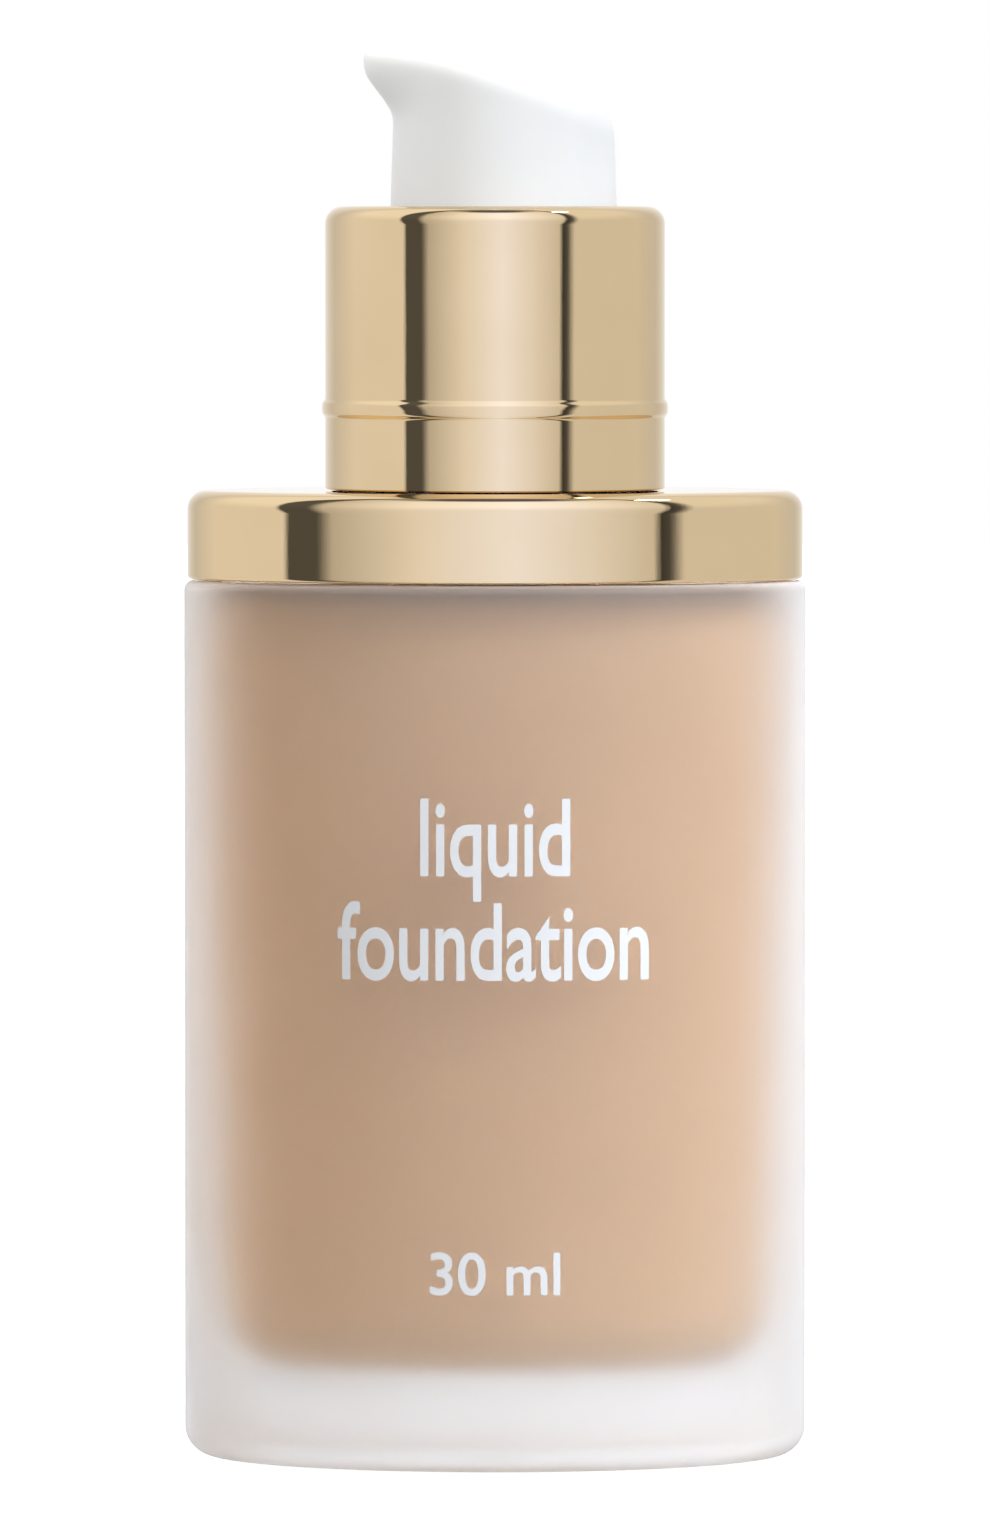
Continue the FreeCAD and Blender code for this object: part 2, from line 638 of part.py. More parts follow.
def screw_collar():
    """The moulded screw cap: threaded skirt, clamping deck, and the guide that the head slides in."""
    body = new_body("screw_collar")
    outer = "collar_radius - collar_wall - cap_gap"
    section = sketch(body, "section", "XZ_Plane")
    polygon(
        section,
        [
            ("cap_bore", "cap_bottom"),
            (outer, "cap_bottom"),
            (outer, "deck_top"),
            ("guide_radius", "deck_top"),
            ("guide_radius", "guide_top"),
            ("guide_bore", "guide_top"),
            ("guide_bore", "deck_top"),
            ("deck_hole", "deck_top"),
            ("deck_hole", "deck_bottom"),
            ("cap_bore", "deck_bottom"),
        ],
    )
    revolve(body, section)

    # The thread starts a quarter turn after the neck's, on the +Y side.
    thread = sketch(body, "thread", "YZ_Plane")
    middle = "thread_low + thread_pitch / 4 - thread_drop"
    polygon(
        thread,
        [
            ("cap_bore + sink", f"{middle} - thread_foot"),
            ("thread_inner", f"{middle} - thread_tip"),
            ("thread_inner", f"{middle} + thread_tip"),
            ("cap_bore + sink", f"{middle} + thread_foot"),
        ],
    )
    coil(body, thread, "thread_pitch", "collar_turns")

    rib = sketch(body, "rib", "XY_Plane", "deck_top - sink")
    near, far = "guide_radius - sink", f"{outer} - sink"
    half = "guide_rib_width / 2"
    polygon(rib, [(near, f"-{half}"), (far, f"-{half}"), (far, half), (near, half)])
    polar(body, pad(body, rib, "guide_rib_top - deck_top + sink"), rib, GUIDE_RIBS)
    return body


# Pump.


def turned(label, corners):
    """A body turned about the Z axis from one closed section."""
    body = new_body(label)
    section = sketch(body, "section", "XZ_Plane")
    polygon(section, corners)
    revolve(body, section)
    return body


def neck_gasket():
    return turned(
        "neck_gasket",
        [
            ("gasket_inner", "gasket_bottom"),
            ("gasket_outer", "gasket_bottom"),
            ("gasket_outer", "flange_bottom - bearing_gap"),
            ("gasket_inner", "flange_bottom - bearing_gap"),
        ],
    )


def pump_housing():
    """The pump cylinder: flange on the gasket, bore for the piston, ball seat, and a socket for the tube."""
    step = "cup_radius - barrel_radius"
    return turned(
        "pump_housing",
        [
            ("tube_radius + tube_fit", "inlet_bottom"),
            ("inlet_radius", "inlet_bottom"),
            ("inlet_radius", "cone_bottom"),
            ("barrel_radius", "cone_top"),
            ("barrel_radius", "cup_bottom"),
            ("cup_radius", f"cup_bottom + {step}"),
            ("cup_radius", "flange_bottom"),
            ("flange_radius", "flange_bottom"),
            ("flange_radius", "flange_top"),
            ("cup_bore", "flange_top"),
            ("cup_bore", "cup_floor"),
            ("barrel_bore", "cup_floor"),
            ("barrel_bore", "barrel_floor"),
            ("chamber_bore", "barrel_floor"),
            ("chamber_bore", "seat_top"),
            ("seat_bore", "seat_bottom"),
            ("seat_bore", "inlet_top"),
            ("tube_radius + tube_fit", "inlet_top"),
        ],
    )


def retaining_cap():
    """Snaps into the top of the pump body, guides the stem and stops it at the top of its stroke."""
    return turned(
        "retaining_cap",
        [
            ("cap_recess", "cup_floor + bearing_gap"),
            ("cap_skirt", "cup_floor + bearing_gap"),
            ("cap_skirt", "flange_top + bearing_gap"),
            ("cap_flange", "flange_top + bearing_gap"),
            ("cap_flange", "cap_flange_top"),
            ("cap_hub", "cap_flange_top"),
            ("cap_hub", "cap_hub_top"),
            ("cap_guide", "cap_hub_top"),
            ("cap_guide", "cap_step"),
            ("cap_recess", "cap_step"),
        ],
    )


def dip_tube():
    body = turned(
        "dip_tube",
        [
            ("tube_bore", "tube_bottom"),
            ("tube_radius", "tube_bottom"),
            ("tube_radius", "inlet_top - bearing_gap"),
            ("tube_bore", "inlet_top - bearing_gap"),
        ],
    )
    # A notch across the lower end keeps the tube open against the floor of the bottle.
    notch = sketch(body, "notch", "XZ_Plane")
    reach = "tube_radius + sink"
    below, tip = "tube_bottom - sink", "tube_bottom + tube_notch"
    polygon(notch, [(f"-({reach})", below), (reach, below), ("0", tip)])
    pocket(body, notch, f"2 * ({reach})", both_ways=True)
    return body


def inlet_ball():
    ball = doc.addObject("Part::Sphere", "inlet_ball")
    bind(ball, "Radius", "ball_radius")
    bind(ball, "Placement.Base.z", "ball_height")
    return ball


def spring_seat():
    """A perforated disc that stops the ball and carries the spring."""
    body = turned(
        "spring_seat",
        [
            ("0", "cage_ceiling"),
            ("cage_bore", "cage_ceiling"),
            ("cage_bore", "cage_bottom"),
            ("cage_radius", "cage_bottom"),
            ("cage_radius", "cage_deck"),
            ("cage_boss", "cage_deck"),
            ("cage_boss", "cage_boss_top"),
            ("0", "cage_boss_top"),
        ],
    )
    port = sketch(body, "port", "XY_Plane", "cage_boss_top")
    circle(port, "cage_port", across="cage_port_reach")
    polar(body, pocket(body, port, "cage_boss_top - cage_ceiling"), port, CAGE_PORTS)
    return body


def return_spring():
    body = new_body("return_spring")
    wire = sketch(body, "wire", "XZ_Plane")
    start = "cage_deck + spring_gap + spring_wire"
    circle(wire, "spring_wire", across="spring_radius", up=start)
    coil(body, wire, f"(poppet_bottom - spring_gap - spring_wire - ({start})) / spring_turns", "spring_turns")
    return body


def valve_pin():
    """The spring pushes its head against the piston. Its fluted plug sits in the stem."""
    body = turned(
        "valve_pin",
        [
            ("0", "poppet_boss_bottom"),
            ("poppet_boss", "poppet_boss_bottom"),
            ("poppet_boss", "poppet_bottom"),
            ("poppet_radius", "poppet_bottom"),
            ("poppet_radius", "poppet_top"),
            ("crown_radius", "poppet_crown"),
            ("pin_radius", "poppet_crown"),
            ("pin_radius", "plug_bottom"),
            ("pin_plug", "plug_bottom"),
            ("pin_plug", "pin_top"),
            ("0", "pin_top"),
        ],
    )
    flute = sketch(body, "flute", "XY_Plane", "pin_top")
    near, far, half = "pin_radius * 0.8", "pin_plug + sink", "flute_width / 2"
    polygon(flute, [(near, f"-{half}"), (far, f"-{half}"), (far, half), (near, half)])
    polar(body, pocket(body, flute, "pin_top - plug_bottom"), flute, PLUG_FLUTES)
    return body


def piston():
    slope = "piston_radius - piston_waist"
    return turned(
        "piston",
        [
            ("piston_throat", "piston_bottom"),
            ("piston_radius", "piston_bottom"),
            ("piston_radius", "piston_bottom + piston_lip"),
            ("piston_waist", f"piston_bottom + piston_lip + ({slope})"),
            ("piston_waist", f"piston_top - piston_lip - ({slope})"),
            ("piston_radius", "piston_top - piston_lip"),
            ("piston_radius", "piston_top"),
            ("piston_bore", "piston_top"),
            ("piston_bore", "piston_ledge"),
            ("piston_throat", "piston_ledge"),
        ],
    )


def pump_stem():
    body = turned(
        "pump_stem",
        [
            ("stem_bore", "stem_bottom"),
            ("stem_radius", "stem_bottom"),
            ("stem_radius", "shoulder_bottom"),
            ("shoulder_radius", "shoulder_bottom"),
            ("shoulder_radius", "shoulder_top"),
            ("stem_radius", "shoulder_top"),
            ("stem_radius", "stem_top"),
            ("stem_bore", "stem_top"),
        ],
    )
    window = sketch(body, "window", "XY_Plane", "stem_bottom + window_height")
    near, far, half = "stem_bore - sink", "stem_radius + sink", "window_width / 2"
    polygon(window, [(near, f"-{half}"), (far, f"-{half}"), (far, half), (near, half)])
    polar(body, pocket(body, window, "window_height"), window, STEM_WINDOWS)
    return body


# Pump head.


def head_outline(height):
    """The head's outline at a height: a circle that swells towards -X into the spout."""
    radius = at.head_radius - at.head_draft * (height - at.collar_top)
    share = min(max((height - at.spout_low) / at.spout_rise, 0.0), 1.0)
    swell = at.spout_flare * share * share * (3 - 2 * share)
    points = []
    for i in range(HEAD_POINTS):
        turn = math.tau * (i + 0.5) / HEAD_POINTS - math.pi
        away = (math.pi - abs(turn)) / at.spout_spread
        reach = radius + swell * math.exp(-away * away / 2)
        points.append(FreeCAD.Vector(at.head_offset + reach * math.cos(turn), reach * math.sin(turn), height))
    curve = Part.BSplineCurve()
    curve.interpolate(Points=points, PeriodicFlag=True)
    return Part.Wire([curve.toShape()])


def above_arch(drop):
    """Everything above the head's arched top, or above that arch lowered by a wall."""
    ends = [("tip_across", "tip_height"), ("middle_across", "middle_height"), ("back_across", "back_height")]
    points = [FreeCAD.Vector(getattr(at, across), -EXTENT / 2, getattr(at, up)) for across, up in ends]
    arch = Part.Arc(*points).toShape().Curve
    axis = FreeCAD.Vector(0, 1, 0)
    drum = Part.makeCylinder(arch.Radius - drop, EXTENT, arch.Center, axis)
    corner = FreeCAD.Vector(-EXTENT / 2, -EXTENT / 2, at.head_bottom)
    return Part.makeBox(EXTENT, EXTENT, EXTENT, corner).cut(drum)


def rod(radius, start, end):
    return Part.makeCylinder(radius, (end - start).Length, start, end - start)


def actuator_head():
    """The pump head: a tapered barrel under an arched, slanting top that runs out into a spout."""
    step = (at.head_roof - at.head_bottom) / HEAD_LEVELS
    outlines = [head_outline(at.head_bottom + step * i) for i in range(HEAD_LEVELS + 1)]
    form = Part.makeLoft(outlines, True, False).cut(above_arch(0.0))
    edges = [edge for edge in form.Edges if edge.BoundBox.YLength > 1 and edge.BoundBox.ZLength > 1]
    form = form.makeFillet(at.top_round, edges)

    up = FreeCAD.Vector(0, 0, 1)
    below = FreeCAD.Vector(at.head_offset, 0, at.head_bottom - 1)
    hollow = Part.makeCylinder(at.head_bore, EXTENT, below, up)
    hollow = hollow.cut(above_arch(at.head_shell))
    foot, crown = FreeCAD.Vector(0, 0, at.boss_bottom), FreeCAD.Vector(0, 0, at.boss_top)
    inlet, outlet = FreeCAD.Vector(0, 0, at.channel_low), FreeCAD.Vector(-at.spout_reach, 0, at.channel_high)
    along = (outlet - inlet).normalize()
    hollow = hollow.cut(rod(at.boss_radius, foot, crown))
    hollow = hollow.cut(rod(at.channel_wall, inlet, outlet))
    form = form.cut(hollow)

    socket_end = FreeCAD.Vector(0, 0, at.socket_top)
    form = form.cut(rod(at.socket_radius, foot - up, socket_end))
    form = form.cut(rod(at.riser_bore, socket_end - up, inlet))
    form = form.cut(rod(at.channel_bore, inlet - along * at.channel_bore, outlet + along))

    head = doc.addObject("Part::Feature", "actuator_head")
    head.Shape = form
    head.Placement = FreeCAD.Placement()
    return head


# Everything together.


def check(parts):
    doc.recompute()
    for item in doc.Objects:
        if "Invalid" in item.State or "Error" in item.State:
            raise RuntimeError(f"{item.Label}: {item.State}")
    for part in parts:
        shape = part.Shape
        if shape.isNull() or not shape.isValid() or len(shape.Solids) != 1:
            raise RuntimeError(f"{part.Label} is not one valid solid")


def write(parts):
    os.makedirs("parts", exist_ok=True)
    for part in parts:
        part.Shape.exportStep(os.path.join("parts", f"{part.Label}.step"))
        box = part.Shape.optimalBoundingBox()
        sides = ((box.XMin, box.XMax), (box.YMin, box.YMax), (box.ZMin, box.ZMax))
        extent = "  ".join(f"{low:7.2f} {high:7.2f}" for low, high in sides)
        print(f"{part.Label:18} {part.Shape.Volume:9.1f} mm3  {extent}")


BUILDERS = [
    glass_bottle,
    foundation_fluid,
    shoulder_plate,
    plate_insert,
    collar_shell,
    screw_collar,
    neck_gasket,
    pump_housing,
    retaining_cap,
    dip_tube,
    inlet_ball,
    spring_seat,
    return_spring,
    valve_pin,
    piston,
    pump_stem,
    actuator_head,
]

sheet = build_sheet()
at = SimpleNamespace(**{alias: float(sheet.get(alias)) for alias, value, note in DIMENSIONS})
pieces = [build() for build in BUILDERS]
check(pieces)
write(pieces)
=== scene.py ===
"""The looks of the foundation bottle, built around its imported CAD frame. +Z is up and the spout is along -X."""

import math

import bmesh
import bpy
from mathutils import Euler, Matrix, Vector


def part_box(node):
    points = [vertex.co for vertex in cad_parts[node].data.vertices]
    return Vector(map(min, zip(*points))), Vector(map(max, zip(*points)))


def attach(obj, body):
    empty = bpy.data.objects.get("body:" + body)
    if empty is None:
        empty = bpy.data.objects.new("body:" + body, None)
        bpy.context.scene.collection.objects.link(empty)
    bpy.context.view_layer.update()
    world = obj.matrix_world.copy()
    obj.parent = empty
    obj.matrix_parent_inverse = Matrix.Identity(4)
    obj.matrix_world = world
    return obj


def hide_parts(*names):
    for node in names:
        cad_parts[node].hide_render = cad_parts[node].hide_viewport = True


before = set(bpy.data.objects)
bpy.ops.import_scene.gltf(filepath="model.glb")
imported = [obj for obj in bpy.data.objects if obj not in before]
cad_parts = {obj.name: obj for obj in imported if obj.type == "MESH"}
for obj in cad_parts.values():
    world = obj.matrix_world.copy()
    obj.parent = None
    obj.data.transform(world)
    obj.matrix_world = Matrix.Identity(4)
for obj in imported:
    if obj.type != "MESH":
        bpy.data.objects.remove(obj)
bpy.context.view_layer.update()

MM = 0.001
ROUND = 256  # points round each turned or oval piece


# Sizes, in millimetres, read from the frame.


def span(node):
    """A CAD node's lowest and highest corner in millimetres."""
    low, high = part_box(node)
    return Vector(low) / MM, Vector(high) / MM


_, glass_high = span("glass_bottle")
plate_low, plate_high = span("shoulder_plate")
collar_low, collar_high = span("collar_shell")
head_low, _ = span("actuator_head")
fluid_low, fluid_high = span("foundation_fluid")
tube_low, tube_high = span("dip_tube")
pump_low, _ = span("pump_housing")

PRINT_ROOM = 0.03  # the glass is this much smaller than its CAD solid: the print stays inside the CAD box
GLASS_A = glass_high.x - PRINT_ROOM
GLASS_B = glass_high.y - PRINT_ROOM
SHOULDER = plate_low.z - 0.13
BASE_ROUND, RIM_ROUND = 2.2, 0.7
PUNT_INSET, PUNT_DEPTH = 6.7, 0.45
CROWN_INSET, CROWN_TOP, CROWN_ROUND = 2.75, 66.3, 0.6  # raised part of the shoulder, under the plate
NECK, BORE, NECK_FILLET = 8.8, 6.6, 1.0
NECK_TOP = glass_high.z
BEAD, BEAD_LOW, BEAD_HIGH = 9.5, 68.2, 69.2
WALL, DRAFT = 5.75, 1.5  # glass at the foot of the cavity, and how much wider the cavity is at its top
WET = 0.04  # the fluid reaches this far into the glass, because it wets it with no air between
CAVITY_FLOOR = fluid_low.z - 0.05
CAVITY_ROOF = fluid_high.z + 0.2
CAVITY_ROUND, CAVITY_TOP_ROUND = 4.2, 1.6
SOCKET_R, CYLINDER_R, CYLINDER_FOOT = 2.7, 4.7, 60.5  # outside of the pump where it stands in the fluid
COLLAR_R = collar_high.x - 0.24  # the wall below and above the rolled ring


# Mesh building.


def oval(a, b, inset=0.0):
    """Points round an ellipse moved inwards by a constant distance."""
    points = []
    for i in range(ROUND):
        turn = math.tau * i / ROUND
        x, y = a * math.cos(turn), b * math.sin(turn)
        nx, ny = b * math.cos(turn), a * math.sin(turn)
        length = math.hypot(nx, ny)
        points.append((x - inset * nx / length, y - inset * ny / length))
    return points


def circle(radius):
    return oval(radius, radius)


def cavity(inset, z):
    """The cavity's outline at a height, moved inwards."""
    wider = DRAFT * (z - CAVITY_FLOOR) / (CAVITY_ROOF - CAVITY_FLOOR)
    return oval(glass_high.x - WALL + wider, glass_high.y - WALL + wider, inset)


def mix(ring_a, ring_b, share):
    return [
        (a[0] + (b[0] - a[0]) * share, a[1] + (b[1] - a[1]) * share)
        for a, b in zip(ring_a, ring_b)
    ]


def arc(steps, start, end, radius):
    """(sideways, upwards) offsets along part of a circle, in degrees, both ends included."""
    for i in range(steps + 1):
        turn = math.radians(start + (end - start) * i / steps)
        yield radius * math.cos(turn), radius * math.sin(turn)


def make_piece(name, vertices, faces, body, materials, indices=None, sharp=35):
    mesh = bpy.data.meshes.new(name)
    mesh.from_pydata([Vector(v) * MM for v in vertices], [], faces)
    for material in materials:
        mesh.materials.append(material)
    mesh.polygons.foreach_set("use_smooth", [True] * len(mesh.polygons))
    if indices:
        mesh.polygons.foreach_set("material_index", indices)
    mesh.update()
    mesh.set_sharp_from_angle(angle=math.radians(sharp))
    piece = bpy.data.objects.new(name, mesh)
    bpy.context.scene.collection.objects.link(piece)
    if body:
        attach(piece, body)
    return piece


def skin(rings, closed=False):
    """Vertices and faces of a surface through rings of (x, y, z) points. A ring of one point is a pole."""
    vertices, starts, faces = [], [], []
    for ring in rings:
        starts.append(len(vertices))
        vertices.extend(ring)
    order = list(range(len(rings)))
    pairs = list(zip(order, order[1:])) + ([(order[-1], 0)] if closed else [])
    bands = []
    for band, (low, high) in enumerate(pairs):
        a, b = starts[low], starts[high]
        count_a, count_b = len(rings[low]), len(rings[high])
        for i in range(max(count_a, count_b)):
            j = (i + 1) % max(count_a, count_b)
            if count_a == 1:
                faces.append((a, b + j, b + i))
            elif count_b == 1:
                faces.append((a + i, a + j, b))
            else:
                faces.append((a + i, a + j, b + j, b + i))
            bands.append(band)
    return vertices, faces, bands


def at(ring, z):
    return [(x, y, z) for x, y in ring]


def turned(name, profile, body, material, closed=True, sharp=35):
    """A piece turned about the Z axis from (radius, height) points. Radius 0 makes a pole."""
    rings = [[(0.0, 0.0, z)] if radius == 0 else at(circle(radius), z) for radius, z in profile]
    vertices, faces, _ = skin(rings, closed)
    return make_piece(name, vertices, faces, body, [material], sharp=sharp)


# Materials.


def add_node(tree, kind, links, **settings):
    """Adds a node. Each of its named inputs is linked to a socket or set to a value."""
    node = tree.nodes.new(kind)
    for key, value in settings.items():
        setattr(node, key, value)
    for name, value in links.items():
        if isinstance(value, bpy.types.NodeSocket):
            tree.links.new(value, node.inputs[name])
        else:
            node.inputs[name].default_value = value
    return node


class Nodes:
    """A short way to write a material's node tree."""

    def __init__(self, name):
        self.material = bpy.data.materials.new(name)
        self.material.use_nodes = True
        self.tree = self.material.node_tree
        self.tree.nodes.clear()
        self.output = self.tree.nodes.new("ShaderNodeOutputMaterial")
        self.place = self.add("ShaderNodeTexCoord").outputs["Object"]

    def add(self, kind, links=None, **settings):
        return add_node(self.tree, kind, links or {}, **settings)

    def noise(self, scale, detail=4.0, roughness=0.6, stretch=(1, 1, 1)):
        """Noise whose grains are about 1/scale metres, stretched along the axes."""
        mapped = self.add("ShaderNodeMapping", {"Vector": self.place, "Scale": stretch}).outputs["Vector"]
        links = {"Vector": mapped, "Scale": scale, "Detail": detail, "Roughness": roughness}
        return self.add("ShaderNodeTexNoise", links).outputs["Fac"]

    def between(self, value, low, high, to_low, to_high):
        links = {"Value": value, "From Min": low, "From Max": high, "To Min": to_low, "To Max": to_high}
        return self.add("ShaderNodeMapRange", links).outputs["Result"]

    def ramp(self, value, stops):
        """A colour ramp through two (place, colour) stops."""
        node = self.add("ShaderNodeValToRGB", {"Fac": value})
        elements = node.color_ramp.elements
        for element, (place, colour) in zip(elements, stops):
            element.position = place
            element.color = (*colour, 1.0)
        return node.outputs["Color"]

    def bump(self, height, strength, distance, normal=None):
        links = {"Height": height, "Strength": strength, "Distance": distance}
        if normal:
            links["Normal"] = normal
        return self.add("ShaderNodeBump", links).outputs["Normal"]

    def finish(self, shader):
        self.tree.links.new(shader, self.output.inputs["Surface"])
        return self.material


def gold():
    """Bright anodised aluminium: fine grain drawn round the wall, faint wear in its gloss."""
    n = Nodes("gold")
    grain = n.noise(2600, 3, 0.6, (1, 1, 0.12))
    haze = n.noise(90, 4, 0.55)
    colour = n.ramp(haze, [(0.3, (0.760, 0.585, 0.355)), (0.7, (0.800, 0.620, 0.385))])
    rough = n.between(n.noise(400, 5, 0.7), 0.3, 0.7, 0.020, 0.045)
    shader = n.add(
        "ShaderNodeBsdfPrincipled",
        {
            "Base Color": colour,
            "Metallic": 1.0,
            "Roughness": rough,
            "Normal": n.bump(grain, 0.05, 0.00002),
        },
    )
    return n.finish(shader.outputs["BSDF"])


def frosted_glass():
    """Acid-frosted glass: a rough clear surface with a little white in it."""
    n = Nodes("frosted_glass")
    grain = n.noise(5200, 2, 0.6)
    cloud = n.noise(110, 3, 0.5)
    rough = n.between(cloud, 0.3, 0.7, 0.48, 0.56)
    normal = n.bump(grain, 0.25, 0.00003)
    clear = n.add(
        "ShaderNodeBsdfPrincipled",
        {
            "Base Color": (1.0, 1.0, 1.0, 1.0),
            "Roughness": rough,
            "IOR": 1.5,
            "Specular Tint": (0.4, 0.4, 0.4, 1.0),
            "Transmission Weight": 1.0,
            "Normal": normal,
        },
    )
    bloom = n.add("ShaderNodeBsdfDiffuse", {"Color": (0.92, 0.93, 0.93, 1.0), "Normal": normal})
    edge = n.add("ShaderNodeLayerWeight", {"Blend": 0.5}).outputs["Facing"]
    share = n.between(edge, 0.25, 0.8, 0.16, 0.5)
    mixed = n.add("ShaderNodeMixShader", {0: share, 1: clear.outputs["BSDF"], 2: bloom.outputs["BSDF"]})
    return n.finish(mixed.outputs["Shader"])


def clear_glass():
    """The glass's moulded inner faces and its neck, left clear, with the faint waves of a blown wall."""
    n = Nodes("clear_glass")
    waves = n.noise(160, 2, 0.4)
    shader = n.add(
        "ShaderNodeBsdfPrincipled",
        {
            "Base Color": (1.0, 1.0, 1.0, 1.0),
            "Roughness": n.between(waves, 0.3, 0.7, 0.02, 0.05),
            "IOR": 1.5,
            "Transmission Weight": 1.0,
            "Normal": n.bump(waves, 0.05, 0.0001),
        },
    )
    return n.finish(shader.outputs["BSDF"])


def fluid():
    """Beige foundation against the glass, with faint clouds where the pigment has settled."""
    n = Nodes("fluid")
    cloud = n.noise(60, 4, 0.55, (1, 1, 0.6))
    colour = n.ramp(cloud, [(0.3, (0.820, 0.495, 0.245)), (0.7, (0.860, 0.535, 0.275))])
    shader = n.add(
        "ShaderNodeBsdfPrincipled",
        {
            "Base Color": colour,
            "Roughness": n.between(cloud, 0.3, 0.7, 0.45, 0.6),
            "Specular IOR Level": 0.0,
        },
    )
    return n.finish(shader.outputs["BSDF"])


def plastic(name, dark, light, rough, subsurface=0.0, grain=1800, depth=0.00002):
    """Moulded plastic: fine spark-eroded grain, slow changes of gloss and tone."""
    n = Nodes(name)
    cloud = n.noise(70, 3, 0.5)
    fine = n.noise(grain, 3, 0.6)
    shader = n.add(
        "ShaderNodeBsdfPrincipled",
        {
            "Base Color": n.ramp(cloud, [(0.3, dark), (0.7, light)]),
            "Roughness": n.between(n.noise(260, 4, 0.6), 0.3, 0.7, rough - 0.05, rough + 0.06),
            "IOR": 1.49,
            "Subsurface Weight": subsurface,
            "Subsurface Radius": (0.004, 0.0036, 0.0032),
            "Subsurface Scale": 1.0,
            "Normal": n.bump(fine, 0.12, depth),
        },
    )
    return n.finish(shader.outputs["BSDF"])


def steel():
    """Drawn stainless steel, with fine lines along the wire."""
    n = Nodes("steel")
    lines = n.noise(2400, 3, 0.6, (1, 1, 0.2))
    shader = n.add(
        "ShaderNodeBsdfPrincipled",
        {
            "Base Color": n.ramp(lines, [(0.3, (0.55, 0.55, 0.56)), (0.7, (0.64, 0.64, 0.65))]),
            "Metallic": 1.0,
            "Roughness": n.between(lines, 0.3, 0.7, 0.18, 0.32),
            "Normal": n.bump(lines, 0.1, 0.00002),
        },
    )
    return n.finish(shader.outputs["BSDF"])


def ink():
    """White screen-printed enamel: its film is a little uneven."""
    n = Nodes("ink")
    film = n.noise(1400, 4, 0.6)
    shader = n.add(
        "ShaderNodeBsdfPrincipled",
        {
            "Base Color": n.ramp(film, [(0.3, (0.93, 0.93, 0.93)), (0.7, (0.97, 0.97, 0.96))]),
            "Roughness": n.between(film, 0.3, 0.7, 0.35, 0.5),
            "Normal": n.bump(film, 0.1, 0.00001),
        },
    )
    return n.finish(shader.outputs["BSDF"])


def studio_floor():
    """A lit white table: it glows through, and takes a faint shadow."""
    n = Nodes("studio_floor")
    cloud = n.noise(3, 2, 0.5)
    shader = n.add(
        "ShaderNodeBsdfPrincipled",
        {
            "Base Color": n.ramp(cloud, [(0.3, (0.62, 0.62, 0.62)), (0.7, (0.64, 0.64, 0.64))]),
            "Roughness": 0.9,
            "Specular IOR Level": 0.0,
            "Emission Color": (1.0, 1.0, 1.0, 1.0),
            "Emission Strength": 0.75,
        },
    )
    return n.finish(shader.outputs["BSDF"])


GOLD = gold()
FROSTED = frosted_glass()
CLEAR = clear_glass()
FLUID = fluid()
WHITE = plastic("white_plastic", (0.82, 0.82, 0.81), (0.85, 0.85, 0.84), 0.32, subsurface=0.25)
NATURAL = plastic("natural_plastic", (0.74, 0.75, 0.75), (0.80, 0.81, 0.81), 0.30, subsurface=0.15)
TUBE = plastic("tube_plastic", (0.78, 0.79, 0.80), (0.84, 0.85, 0.85), 0.42, subsurface=0.15)
FOAM = plastic("gasket_foam", (0.82, 0.82, 0.80), (0.90, 0.90, 0.88), 0.80, grain=900, depth=0.00008)
STEEL = steel()
INK = ink()

NODE_MATERIALS = {
    "plate_insert": NATURAL,
    "screw_collar": WHITE,
    "neck_gasket": FOAM,
    "pump_housing": NATURAL,
    "retaining_cap": NATURAL,
    "dip_tube": TUBE,
    "inlet_ball": STEEL,
    "spring_seat": NATURAL,
    "return_spring": STEEL,
    "valve_pin": NATURAL,
    "piston": TUBE,
    "pump_stem": NATURAL,
}


def paint_nodes():
    for node, material in NODE_MATERIALS.items():
        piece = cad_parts[node]
        piece.data.materials.clear()
        piece.data.materials.append(material)


# Glass bottle, fluid and print.


